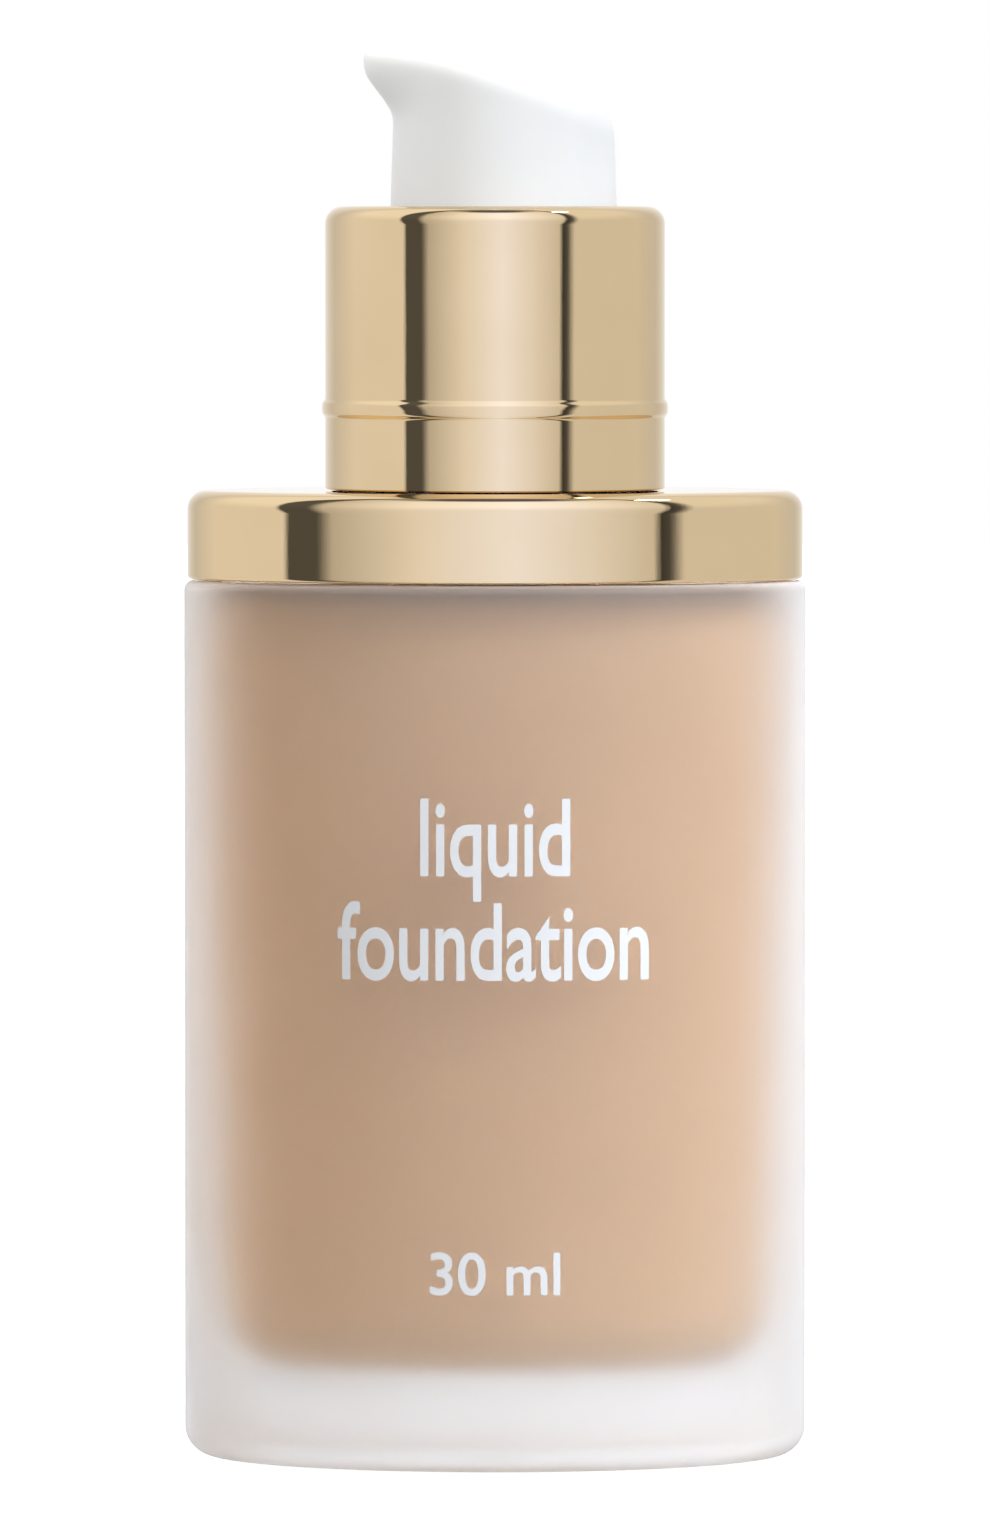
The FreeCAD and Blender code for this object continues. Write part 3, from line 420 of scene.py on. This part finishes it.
def build_glass():
    outside, inside = [], []

    def outer(inset, z):
        outside.append(at(oval(GLASS_A, GLASS_B, inset), z))

    outside.append([(0.0, 0.0, PUNT_DEPTH)])
    punt = oval(GLASS_A, GLASS_B, PUNT_INSET + 0.35)
    for share in (0.25, 0.5, 0.75, 1.0):
        outside.append(at([(x * share, y * share) for x, y in punt], PUNT_DEPTH))
    outer(PUNT_INSET + 0.12, PUNT_DEPTH - 0.12)
    outer(PUNT_INSET, 0.12)
    outer(PUNT_INSET - 0.12, 0.0)
    for inset in (5.5, 4.3, 3.2):
        outer(inset, 0.0)
    for across, up in arc(14, -90, 0, BASE_ROUND):
        outer(BASE_ROUND - across, BASE_ROUND + up)
    for z in range(6, 62, 4):
        outer(0.0, float(z))
    for across, up in arc(8, 0, 90, RIM_ROUND):
        outer(RIM_ROUND - across, SHOULDER - RIM_ROUND + up)
    frosted = len(outside)

    crown = (glass_high.x - CROWN_INSET, glass_high.y - CROWN_INSET)
    inside.append(at(mix(oval(GLASS_A, GLASS_B, RIM_ROUND), oval(*crown), 0.5), SHOULDER))
    inside.append(at(oval(*crown), SHOULDER))
    for across, up in arc(6, 0, 90, CROWN_ROUND):
        inside.append(at(oval(*crown, CROWN_ROUND - across), CROWN_TOP - CROWN_ROUND + up))
    edge, root = oval(*crown, CROWN_ROUND), NECK + NECK_FILLET
    for share in (0.33, 0.66):
        inside.append(at(mix(edge, circle(root), share), CROWN_TOP))
    neck = [(root - across, CROWN_TOP + NECK_FILLET - up) for across, up in arc(6, 90, 0, NECK_FILLET)]
    slope = BEAD - NECK
    neck += [(NECK, BEAD_LOW - slope), (BEAD, BEAD_LOW), (BEAD, BEAD_HIGH), (NECK, BEAD_HIGH + slope)]
    lip = 0.5
    neck += [(NECK - lip + across, NECK_TOP - lip + up) for across, up in arc(5, 0, 90, lip)]
    neck += [(BORE + lip - across, NECK_TOP - lip + up) for across, up in arc(5, 90, 0, lip)]
    neck += [(BORE, CAVITY_ROOF + 0.3), (BORE + 0.3, CAVITY_ROOF)]
    inside += [at(circle(radius), z) for radius, z in neck]
    for share in (0.33, 0.66):
        ring = mix(circle(BORE + 0.3), cavity(CAVITY_TOP_ROUND, CAVITY_ROOF), share)
        inside.append(at(ring, CAVITY_ROOF))
    for across, up in arc(8, 90, 0, CAVITY_TOP_ROUND):
        z = CAVITY_ROOF - CAVITY_TOP_ROUND + up
        inside.append(at(cavity(CAVITY_TOP_ROUND - across, z), z))
    for z in range(58, 10, -4):
        inside.append(at(cavity(0.0, z), float(z)))
    for across, up in arc(10, 0, -90, CAVITY_ROUND):
        z = CAVITY_FLOOR + CAVITY_ROUND + up
        inside.append(at(cavity(CAVITY_ROUND - across, z), z))
    for share in (0.66, 0.33):
        ring = [(x * share, y * share) for x, y in cavity(CAVITY_ROUND, CAVITY_FLOOR)]
        inside.append(at(ring, CAVITY_FLOOR))
    inside.append([(0.0, 0.0, CAVITY_FLOOR)])

    vertices, faces, bands = skin(outside + inside)
    indices = [0 if band < frosted - 1 else 1 for band in bands]
    thread_vertices, thread_faces = thread()
    offset = len(vertices)
    vertices += thread_vertices
    faces += [tuple(offset + i for i in face) for face in thread_faces]
    indices += [1] * len(thread_faces)
    glass = make_piece("glass", vertices, faces, "bottle", [FROSTED, CLEAR], indices)
    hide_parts("glass_bottle")


def thread():
    """The neck's thread: a ridge wound one and a half turns, closed at both ends."""
    pitch, turns, low, steps = 3.18, 1.5, 73.6, 108
    section = [(NECK - 0.2, -0.9), (9.7, -0.45), (9.7, 0.45), (NECK - 0.2, 0.9)]
    vertices, faces = [], []
    for i in range(steps + 1):
        turn = math.tau * turns * i / steps
        fade = min(1.0, 12 * min(i, steps - i) / steps)
        middle = low + pitch * turns * i / steps
        for radius, up in section:
            reach = NECK - 0.2 + (radius - NECK + 0.2) * fade
            vertices.append((reach * math.cos(turn), reach * math.sin(turn), middle + up))
    for i in range(steps):
        for j in range(4):
            a, b = 4 * i + j, 4 * i + (j + 1) % 4
            faces.append((a, a + 4, b + 4, b))
    faces.append((0, 1, 2, 3))
    faces.append(tuple(4 * steps + j for j in (3, 2, 1, 0)))
    return vertices, faces


def build_fluid():
    floor, roof = CAVITY_FLOOR - WET, CAVITY_ROOF + WET
    foot, crown = CAVITY_ROUND + WET, CAVITY_TOP_ROUND + WET
    rings = [[(0.0, 0.0, floor)]]
    for share in (0.33, 0.66):
        rings.append(at([(x * share, y * share) for x, y in cavity(CAVITY_ROUND, floor)], floor))
    for across, up in arc(10, -90, 0, foot):
        z = floor + foot + up
        rings.append(at(cavity(CAVITY_ROUND - across, z), z))
    for z in range(14, 60, 4):
        rings.append(at(cavity(-WET, z), float(z)))
    for across, up in arc(8, 0, 90, crown):
        z = roof - crown + up
        rings.append(at(cavity(CAVITY_TOP_ROUND - across, z), z))
    gap = 0.12
    tube, socket, cylinder = tube_high.x + gap, SOCKET_R + gap, CYLINDER_R + gap
    socket_foot, tube_foot = pump_low.z - gap, tube_low.z - gap
    for share in (0.33, 0.66):
        rings.append(at(mix(cavity(CAVITY_TOP_ROUND, roof), circle(cylinder), share), roof))
    wells = [(cylinder, roof), (cylinder, CYLINDER_FOOT), (socket, CYLINDER_FOOT), (socket, socket_foot)]
    wells += [(tube, socket_foot), (tube, 40.0), (tube, 24.0), (tube, tube_foot)]
    rings += [at(circle(radius), z) for radius, z in wells]
    rings.append([(0.0, 0.0, tube_foot)])
    vertices, faces, _ = skin(rings)
    piece = make_piece("fluid", vertices, faces, "bottle", [FLUID])
    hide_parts("foundation_fluid")


def build_print(name, words, baseline, size, squeeze, weight):
    """Generic white lettering laid on the front of the glass."""
    curve = bpy.data.curves.new(name, "FONT")
    curve.body = words
    curve.align_x = "CENTER"
    curve.size = size
    curve.offset = weight
    curve.extrude = 0.01
    curve.resolution_u = 6
    source = bpy.data.objects.new(f"{name}_source", curve)
    bpy.context.scene.collection.objects.link(source)
    bpy.context.view_layer.update()
    mesh = bpy.data.meshes.new_from_object(source.evaluated_get(bpy.context.evaluated_depsgraph_get()))
    bpy.data.objects.remove(source)
    bpy.data.curves.remove(curve)
    cut_strips(mesh, 0.25)
    for vertex in mesh.vertices:
        x = vertex.co.x * squeeze
        depth = GLASS_B * math.sqrt(1 - (x / GLASS_A) ** 2)
        vertex.co = Vector((x, -depth - 0.012 - vertex.co.z, baseline + vertex.co.y)) * MM
    mesh.materials.clear()
    mesh.materials.append(INK)
    mesh.name = name
    piece = bpy.data.objects.new(name, mesh)
    bpy.context.scene.collection.objects.link(piece)
    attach(piece, "bottle")


def cut_strips(mesh, width):
    """Cuts flat lettering into narrow upright strips, so that it can bend round the glass."""
    work = bmesh.new()
    work.from_mesh(mesh)
    xs = [vertex.co.x for vertex in work.verts]
    x = min(xs) + width
    while x < max(xs):
        geometry = work.verts[:] + work.edges[:] + work.faces[:]
        bmesh.ops.bisect_plane(work, geom=geometry, plane_co=(x, 0, 0), plane_no=(1, 0, 0))
        x += width
    work.to_mesh(mesh)
    work.free()


# Gilt plate and collar.


def build_plate():
    a, b = plate_high.x, plate_high.y
    low, high, wall, turn, hole = plate_low.z, plate_high.z, 0.6, 1.4, 10.6
    edge = 0.25
    rings = []
    for across, up in arc(4, -90, 0, edge):
        rings.append(at(oval(a, b, edge - across), low + edge + up))
    for z in (low + edge + 0.04, (low + high) / 2, high - turn - 0.04):
        rings.append(at(oval(a, b), z))
    for across, up in arc(20, 0, 90, turn):
        rings.append(at(oval(a, b, turn - across), high - turn + up))
    top = oval(a, b, turn)
    for share in (0.2, 0.4, 0.6, 0.8):
        rings.append(at(mix(top, circle(hole), share), high))
    rings += [at(circle(hole + 0.1), high), at(circle(hole), high - 0.1), at(circle(hole), high - wall)]
    inner = turn - wall
    under = oval(a, b, wall + inner)
    for share in (0.33, 0.66):
        rings.append(at(mix(circle(hole), under, share), high - wall))
    for across, up in arc(6, 90, 0, inner):
        rings.append(at(oval(a, b, wall + inner - across), high - wall - inner + up))
    rings.append(at(oval(a, b, wall), low + 0.1))
    rings.append(at(oval(a, b, wall - 0.1), low))
    vertices, faces, _ = skin(rings, closed=True)
    piece = make_piece("gilt_plate", vertices, faces, "bottle", [GOLD])
    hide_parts("shoulder_plate")


def build_collar():
    low, high, wall, turn, mouth = collar_low.z, collar_high.z, 0.45, 1.3, 9.6
    ring, foot, tip = 77.5, 0.75, 0.32
    profile = [(COLLAR_R - 0.1, low), (COLLAR_R, low + 0.1), (COLLAR_R, low + 0.14)]
    profile.append((COLLAR_R, ring - foot - 0.03))
    steps = 16
    for i in range(steps + 1):
        up = -foot + 2 * foot * i / steps
        share = abs(up) / foot
        slope = max(0.0, (share - tip / foot) / (1 - tip / foot))
        swell = 0.5 + 0.5 * math.cos(math.pi * slope)
        rise = (collar_high.x - COLLAR_R) * swell * (1 - 0.12 * min(1.0, share * 2) ** 2)
        profile.append((COLLAR_R + rise, ring + up))
    profile += [(COLLAR_R, ring + foot + 0.03), (COLLAR_R, 84.0), (COLLAR_R, high - turn - 0.04)]
    profile += [(COLLAR_R - turn + across, high - turn + up) for across, up in arc(20, 0, 90, turn)]
    roll = 0.2
    profile += [(mouth + roll + across, high - roll + up) for across, up in arc(5, 90, 180, roll)]
    inner = turn - wall
    profile += [(mouth, high - wall), (COLLAR_R - wall - inner, high - wall)]
    bend, bend_foot = COLLAR_R - wall - inner, high - wall - inner
    profile += [(bend + across, bend_foot + up) for across, up in arc(6, 90, 0, inner)]
    profile += [(COLLAR_R - wall, 84.0), (COLLAR_R - wall, low + 0.1), (COLLAR_R - wall + 0.1, low)]
    piece = turned("gilt_collar", profile, "collar", GOLD, sharp=40)
    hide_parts("collar_shell")


# Head.

HEAD_OFFSET, HEAD_R, HEAD_DRAFT = 0.64, 8.35, 0.03
FLARE, FLARE_LOW, FLARE_RISE, FLARE_SPREAD = 2.35, 98.6, 4.4, 0.33
ARCH = ((-8.15, 103.84), (-1.0, 102.94), (6.32, 100.74))
HEAD_BORE, HEAD_SHELL = 7.2, 1.4
BACK_ROUND, TIP_ROUND = 2.3, 0.85


def arch_height(x):
    """The head's top line: the circle through three points, read at x."""
    (ax, az), (bx, bz), (cx, cz) = ARCH
    d = 2 * (ax * (bz - cz) + bx * (cz - az) + cx * (az - bz))
    sa, sb, sc = ax * ax + az * az, bx * bx + bz * bz, cx * cx + cz * cz
    ux = (sa * (bz - cz) + sb * (cz - az) + sc * (az - bz)) / d
    uz = (sa * (cx - bx) + sb * (ax - cx) + sc * (bx - ax)) / d
    radius = math.hypot(ax - ux, az - uz)
    return uz + math.sqrt(radius * radius - (x - ux) ** 2)


def head_reach(turn, z):
    """The head's radius about its barrel's axis, at an angle from +X and a height."""
    radius = HEAD_R - HEAD_DRAFT * (z - collar_high.z)
    share = min(max((z - FLARE_LOW) / FLARE_RISE, 0.0), 1.0)
    away = (math.pi - abs(turn)) / FLARE_SPREAD
    return radius + FLARE * share * share * (3 - 2 * share) * math.exp(-away * away / 2)


def head_column(turn):
    """One upright line of the head, from its lower edge over the rounded rim to the middle of the top."""

    def wall(z):
        reach = head_reach(turn, z)
        return Vector((HEAD_OFFSET + reach * math.cos(turn), reach * math.sin(turn), z))

    z = 102.0
    for _ in range(30):
        z = arch_height(wall(z).x)
    corner = wall(z)
    back = (1 + math.cos(turn)) / 2
    size = TIP_ROUND + (BACK_ROUND - TIP_ROUND) * min(1.0, back * 1.6) ** 0.7
    start = wall(corner.z - size)
    flat_reach = math.hypot(corner.x - HEAD_OFFSET, corner.y) - size

    def roof(reach):
        x = HEAD_OFFSET + reach * math.cos(turn)
        return Vector((x, reach * math.sin(turn), arch_height(x)))

    end = roof(flat_reach)
    bottom = head_low.z
    lower = [bottom + 0.12, bottom + 2, bottom + 4, bottom + 6, bottom + 8, bottom + 9]
    column = [wall(bottom) - Vector((math.cos(turn), math.sin(turn), 0)) * 0.12]
    column += [wall(z) for z in lower]
    rise = start.z - lower[-1]
    column += [wall(lower[-1] + rise * i / 14) for i in range(1, 14)]
    for i in range(11):
        t = i / 10
        column.append(start * (1 - t) ** 2 + corner * 2 * t * (1 - t) + end * t * t)
    column += [roof(flat_reach * (1 - i / 12)) for i in range(1, 12)]
    return column


def build_head():
    columns = [head_column(math.tau * (i + 0.5) / ROUND - math.pi) for i in range(ROUND)]
    rings = [[tuple(column[k]) for column in columns] for k in range(len(columns[0]))]
    rings.append([(HEAD_OFFSET, 0.0, arch_height(HEAD_OFFSET))])
    inner = []
    for i in range(ROUND):
        turn = math.tau * (i + 0.5) / ROUND - math.pi
        x, y = HEAD_OFFSET + HEAD_BORE * math.cos(turn), HEAD_BORE * math.sin(turn)
        inner.append((x, y))
    hollow = [[(HEAD_OFFSET, 0.0, arch_height(HEAD_OFFSET) - HEAD_SHELL)]]
    for share in (0.5, 1.0):
        shrunk = [(HEAD_OFFSET + (x - HEAD_OFFSET) * share, y * share) for x, y in inner]
        hollow.append([(x, y, arch_height(x) - HEAD_SHELL) for x, y in shrunk])
    hollow.append([(x, y, 94.0) for x, y in inner])
    hollow.append([(x, y, head_low.z + 0.12) for x, y in inner])
    hollow.append([(HEAD_OFFSET + (x - HEAD_OFFSET) * 1.015, y * 1.015, head_low.z) for x, y in inner])
    # The hollow runs on from the last ring of the hollow to the first ring of the outside.
    vertices, faces, _ = skin(hollow + rings)
    head = make_piece("head", vertices, faces, "head", [WHITE], sharp=50)
    bore_spout(head)
    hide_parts("actuator_head")


def bore_spout(head):
    """Drills the passage into the spout's tip."""
    start, end = Vector((0.0, 0.0, 99.4)), Vector((-9.69, 0.0, 102.85))
    along = (end - start).normalized()
    radius = 0.6
    side = Vector((0, 1, 0))
    up = along.cross(side)
    rings = []
    for place in (end - along * 5, end + along):
        turns = [math.tau * i / 32 for i in range(32)]
        rings.append([tuple(place + (side * math.cos(t) + up * math.sin(t)) * radius) for t in turns])
    vertices, faces, _ = skin([[tuple(end - along * 5)]] + rings + [[tuple(end + along)]])
    drill = make_piece("drill", vertices, faces, None, [WHITE])
    cut = head.modifiers.new("bore", "BOOLEAN")
    cut.object = drill
    cut.solver = "EXACT"
    bpy.context.view_layer.update()
    bored = bpy.data.meshes.new_from_object(head.evaluated_get(bpy.context.evaluated_depsgraph_get()))
    head.modifiers.clear()
    head.data = bored
    bpy.data.objects.remove(drill)


def build_boss():
    """The boss inside the head that grips the stem."""
    bore, grip, foot, ledge, top = 2.13, 3.4, 88.4, 94.05, 100.2
    profile = [(0, ledge), (bore, ledge), (bore, foot + 0.2), (bore + 0.2, foot)]
    profile += [(grip, foot), (grip, top), (0, top)]
    turned("head_boss", profile, "head", WHITE, closed=False)


# Studio.

# What the gilt reflects: soft cards at the left, front, right and back of a studio, with a dark gap on each
# side of the front one. (Degrees round from the camera's side, positive to the right; brightness; blueness.)
CARDS = [
    (-180, 1.0, 0.0),
    (-140, 0.7, 0.0),
    (-110, 0.9, 0.0),
    (-64, 0.9, 0.0),
    (-62, 0.1, 0.0),
    (-50, 0.1, 0.0),
    (-45, 0.6, 0.0),
    (-20, 0.95, 0.1),
    (5, 1.1, 0.4),
    (25, 0.95, 0.2),
    (44, 0.75, 0.0),
    (46, 0.05, 0.0),
    (50, 0.1, 0.0),
    (55, 0.8, 0.0),
    (110, 0.8, 0.0),
    (140, 0.7, 0.0),
    (180, 1.0, 0.0),
]
LEAN = 0.33  # the cards lean towards the camera by this share of their height
GAP = (0.35, 0.75)  # between the cards overhead: radii in metres where it starts to fade and ends
GLARE = 1.2  # the cards are this much brighter high up
TENT_R, BACKDROP_R = 3000, 3200  # drums that carry the cards and the white background, millimetres
PEAK = 1.7  # the ramps' colours stay below 1, and are multiplied by this


def tint(brightness, blueness):
    return (brightness, brightness * (1 + 0.22 * blueness), brightness * (1 + blueness))


# The room's soft light, in the same form as the cards.
ROOM = [
    (-180, 1.0, 0.05),
    (-125, 1.5, 0.1),
    (-100, 1.3, 0.1),
    (-85, 0.5, 0.0),
    (-60, 0.15, -0.05),
    (-10, 0.35, -0.05),
    (30, 0.55, 0.1),
    (60, 0.7, 0.1),
    (110, 0.85, 0.05),
    (180, 1.0, 0.05),
]
UNDER, ZENITH = 0.75, 1.0  # brightness from below and from overhead, as a share of that at eye level
TABLE = (0.74, 0.75, 0.74)  # light thrown up by the table
TABLE_SHARE = 0.3


def step_ramp(tree, value, stops):
    """A colour ramp through (place, colour) stops, the first of which is at 0."""
    ramp = add_node(tree, "ShaderNodeValToRGB", {"Fac": value})
    elements = ramp.color_ramp.elements
    for place, colour in stops:
        element = elements[0] if place == 0 else elements[-1] if place == 1 else elements.new(place)
        element.color = (*colour, 1.0)
    if stops[-1][0] < 1:
        elements[-1].color = (*stops[-1][1], 1.0)
    return ramp.outputs["Color"]


def azimuth_ramp(tree, place, stops):
    """A colour by the angle round the Z axis, from (degrees, colour) stops. Returns the ramp's colour."""
    x, y, z = add_node(tree, "ShaderNodeSeparateXYZ", {0: place}).outputs
    front = add_node(tree, "ShaderNodeMath", {0: y, 1: -1.0}, operation="MULTIPLY").outputs["Value"]
    turn = add_node(tree, "ShaderNodeMath", {0: x, 1: front}, operation="ARCTAN2").outputs["Value"]
    links = {"Value": turn, "From Min": -math.pi, "From Max": math.pi}
    share = add_node(tree, "ShaderNodeMapRange", links).outputs["Result"]
    scaled = [(degrees / 360 + 0.5, [channel / PEAK for channel in colour]) for degrees, colour in stops]
    return step_ramp(tree, share, scaled)


def build_world():
    """The room's soft light, strongest from behind and weakest from the front left. It lights the pieces."""
    world = bpy.data.worlds.new("studio")
    bpy.context.scene.world = world
    world.use_nodes = True
    tree = world.node_tree
    tree.nodes.clear()

    def add(kind, links, **settings):
        return add_node(tree, kind, links, **settings)

    place = add("ShaderNodeTexCoord", {}).outputs["Generated"]
    around = azimuth_ramp(tree, place, [(degrees, tint(*level)) for degrees, *level in ROOM])
    height = add("ShaderNodeSeparateXYZ", {0: place}).outputs["Z"]
    heights = ((-1, UNDER), (-0.15, UNDER), (0.0, 1.0), (0.9, ZENITH))
    levels = [((1 + z) / 2, (level / PEAK,) * 3) for z, level in heights]
    raised = add("ShaderNodeMapRange", {"Value": height, "From Min": -1.0, "From Max": 1.0}).outputs["Result"]
    level = step_ramp(tree, raised, levels)
    strength = add("ShaderNodeMath", {0: level, 1: PEAK * PEAK}, operation="MULTIPLY")
    sunk = {"Value": height, "From Min": -0.15, "From Max": 0.0, "To Min": TABLE_SHARE, "To Max": 0.0}
    share = add("ShaderNodeMapRange", sunk).outputs["Result"]
    table = (*(channel / PEAK for channel in TABLE), 1.0)
    colour = add("ShaderNodeMixRGB", {"Fac": share, "Color1": around, "Color2": table}).outputs["Color"]
    light = add("ShaderNodeBackground", {"Color": colour, "Strength": strength.outputs["Value"]})
    add("ShaderNodeOutputWorld", {"Surface": light.outputs["Background"]})


def build_drum(name, radius, material):
    """A tall closed drum round the studio, hidden from every kind of ray until one is let to see it."""
    low, high = -2500, 2500
    rings = [[(0.0, 0.0, low)], at(circle(radius), low), at(circle(radius), high), [(0.0, 0.0, high)]]
    vertices, faces, _ = skin(rings)
    drum = make_piece(name, vertices, faces, None, [material])
    for kind in ("camera", "diffuse", "glossy", "transmission", "volume_scatter", "shadow"):
        setattr(drum, f"visible_{kind}", False)
    return drum


def glow(name, brightness):
    n = Nodes(name)
    light = n.add("ShaderNodeEmission", {"Color": (1.0, 1.0, 1.0, 1.0), "Strength": brightness})
    return n.finish(light.outputs["Emission"])


def cards():
    """The cards and gaps round the bottle, which only the gilt's reflections see."""
    n = Nodes("cards")
    x, y, z = n.add("ShaderNodeSeparateXYZ", {0: n.place}).outputs
    above = n.add("ShaderNodeMath", {0: z, 1: 0.0}, operation="MAXIMUM").outputs["Value"]
    leant = n.add("ShaderNodeMath", {0: above, 1: -LEAN, 2: y}, operation="MULTIPLY_ADD").outputs["Value"]
    place = n.add("ShaderNodeCombineXYZ", {0: x, 1: leant, 2: z}).outputs["Vector"]
    colour = azimuth_ramp(n.tree, place, [(degrees, tint(*level)) for degrees, *level in CARDS])
    flat = n.add("ShaderNodeCombineXYZ", {0: x, 1: y}).outputs["Vector"]
    away = n.add("ShaderNodeVectorMath", {0: flat}, operation="LENGTH").outputs["Value"]
    lit = n.between(away, *GAP, 0.1, 1.0)
    high = n.between(z, 1.0, 2.5, PEAK, PEAK * GLARE)
    strength = n.add("ShaderNodeMath", {0: lit, 1: high}, operation="MULTIPLY").outputs["Value"]
    light = n.add("ShaderNodeEmission", {"Color": colour, "Strength": strength})
    return n.finish(light.outputs["Emission"])


def build_surroundings():
    """What the gilt reflects, and the white that the camera sees behind the bottle."""
    build_drum("tent", TENT_R, cards()).visible_glossy = True
    build_drum("backdrop", BACKDROP_R, glow("backdrop", 1.0)).visible_camera = True


def area_light(name, place, target, size, power, hidden_from):
    light = bpy.data.lights.new(name, "AREA")
    light.shape = "RECTANGLE"
    light.size, light.size_y = size
    light.energy = power
    lamp = bpy.data.objects.new(name, light)
    lamp.location = place
    lamp.rotation_euler = (Vector(target) - Vector(place)).to_track_quat("-Z", "Y").to_euler()
    for kind in hidden_from:
        setattr(lamp, f"visible_{kind}", False)
    bpy.context.scene.collection.objects.link(lamp)


def spot_light(name, place, target, reach, power, colour):
    """A narrow beam that lights what is within reach of its target. No reflection shows it."""
    light = bpy.data.lights.new(name, "SPOT")
    beam = Vector(target) - Vector(place)
    light.spot_size = 2 * math.atan(reach / beam.length)
    light.spot_blend = 0.7
    light.shadow_soft_size = 0.01
    light.color = colour
    light.energy = power
    lamp = bpy.data.objects.new(name, light)
    lamp.location = place
    lamp.rotation_euler = beam.to_track_quat("-Z", "Y").to_euler()
    lamp.visible_glossy = False
    bpy.context.scene.collection.objects.link(lamp)


def build_studio():
    build_world()
    build_surroundings()
    soft, bright = ("camera", "glossy"), ("camera", "diffuse", "transmission", "volume_scatter")
    area_light("overhead", (0.0, -0.3, 0.9), (0, 0, 0), (0.9, 0.9), 1.2, soft)
    area_light("key", (0.49, -0.46, 0.79), (0, 0, 0.04), (0.5, 0.5), 5.2, soft)
    spot_light("side", (0.66, -0.42, 0.62), (0, 0, 0.028), 0.062, 15.0, (0.84, 1.0, 1.20))
    spot_light("rim", (-0.80, 0.56, 0.22), (0, 0, 0.028), 0.062, 12.0, (0.90, 1.0, 1.10))
    spot_light("fill", (-0.50, -0.62, 0.62), (0, 0, 0.103), 0.030, 15.0, (1.0, 0.99, 0.95))
    area_light("spark", (0.39, 0.04, 0.97), (0, 0, 0.05), (0.1, 0.1), 0.4, bright)
    rings = [at(circle(radius), 0.0) for radius in (2400, 600, 120)] + [[(0.0, 0.0, 0.0)]]
    vertices, faces, _ = skin(rings)
    floor = make_piece("floor", vertices, faces, None, [studio_floor()])
    for kind in ("diffuse", "glossy", "transmission", "shadow"):
        setattr(floor, f"visible_{kind}", False)


def build_camera():
    target, elevation, distance = Vector((0.0, 0.0, 0.05126)), math.radians(2.65), 0.885
    data = bpy.data.cameras.new("camera")
    data.sensor_fit = "VERTICAL"
    data.sensor_height = 36.0
    data.lens = 282.3
    data.clip_start, data.clip_end = 0.05, 20.0
    camera = bpy.data.objects.new("camera", data)
    camera.location = target + Vector((0, -math.cos(elevation), math.sin(elevation))) * distance
    camera.rotation_euler = Euler((math.pi / 2 - elevation, 0, 0))
    bpy.context.scene.collection.objects.link(camera)
    bpy.context.scene.camera = camera


build_camera()
build_studio()
paint_nodes()
build_glass()
build_fluid()
build_print("print_upper", "liquid", 43.8, 8.0, 0.66, 0.10)
build_print("print_middle", "foundation", 36.2, 8.0, 0.66, 0.10)
build_print("print_lower", "30 ml", 13.2, 4.4, 1.0, 0.05)
build_plate()
build_collar()
build_head()
build_boss()

bpy.context.scene.view_settings.view_transform = "Standard"
bpy.context.scene.view_settings.look = "None"
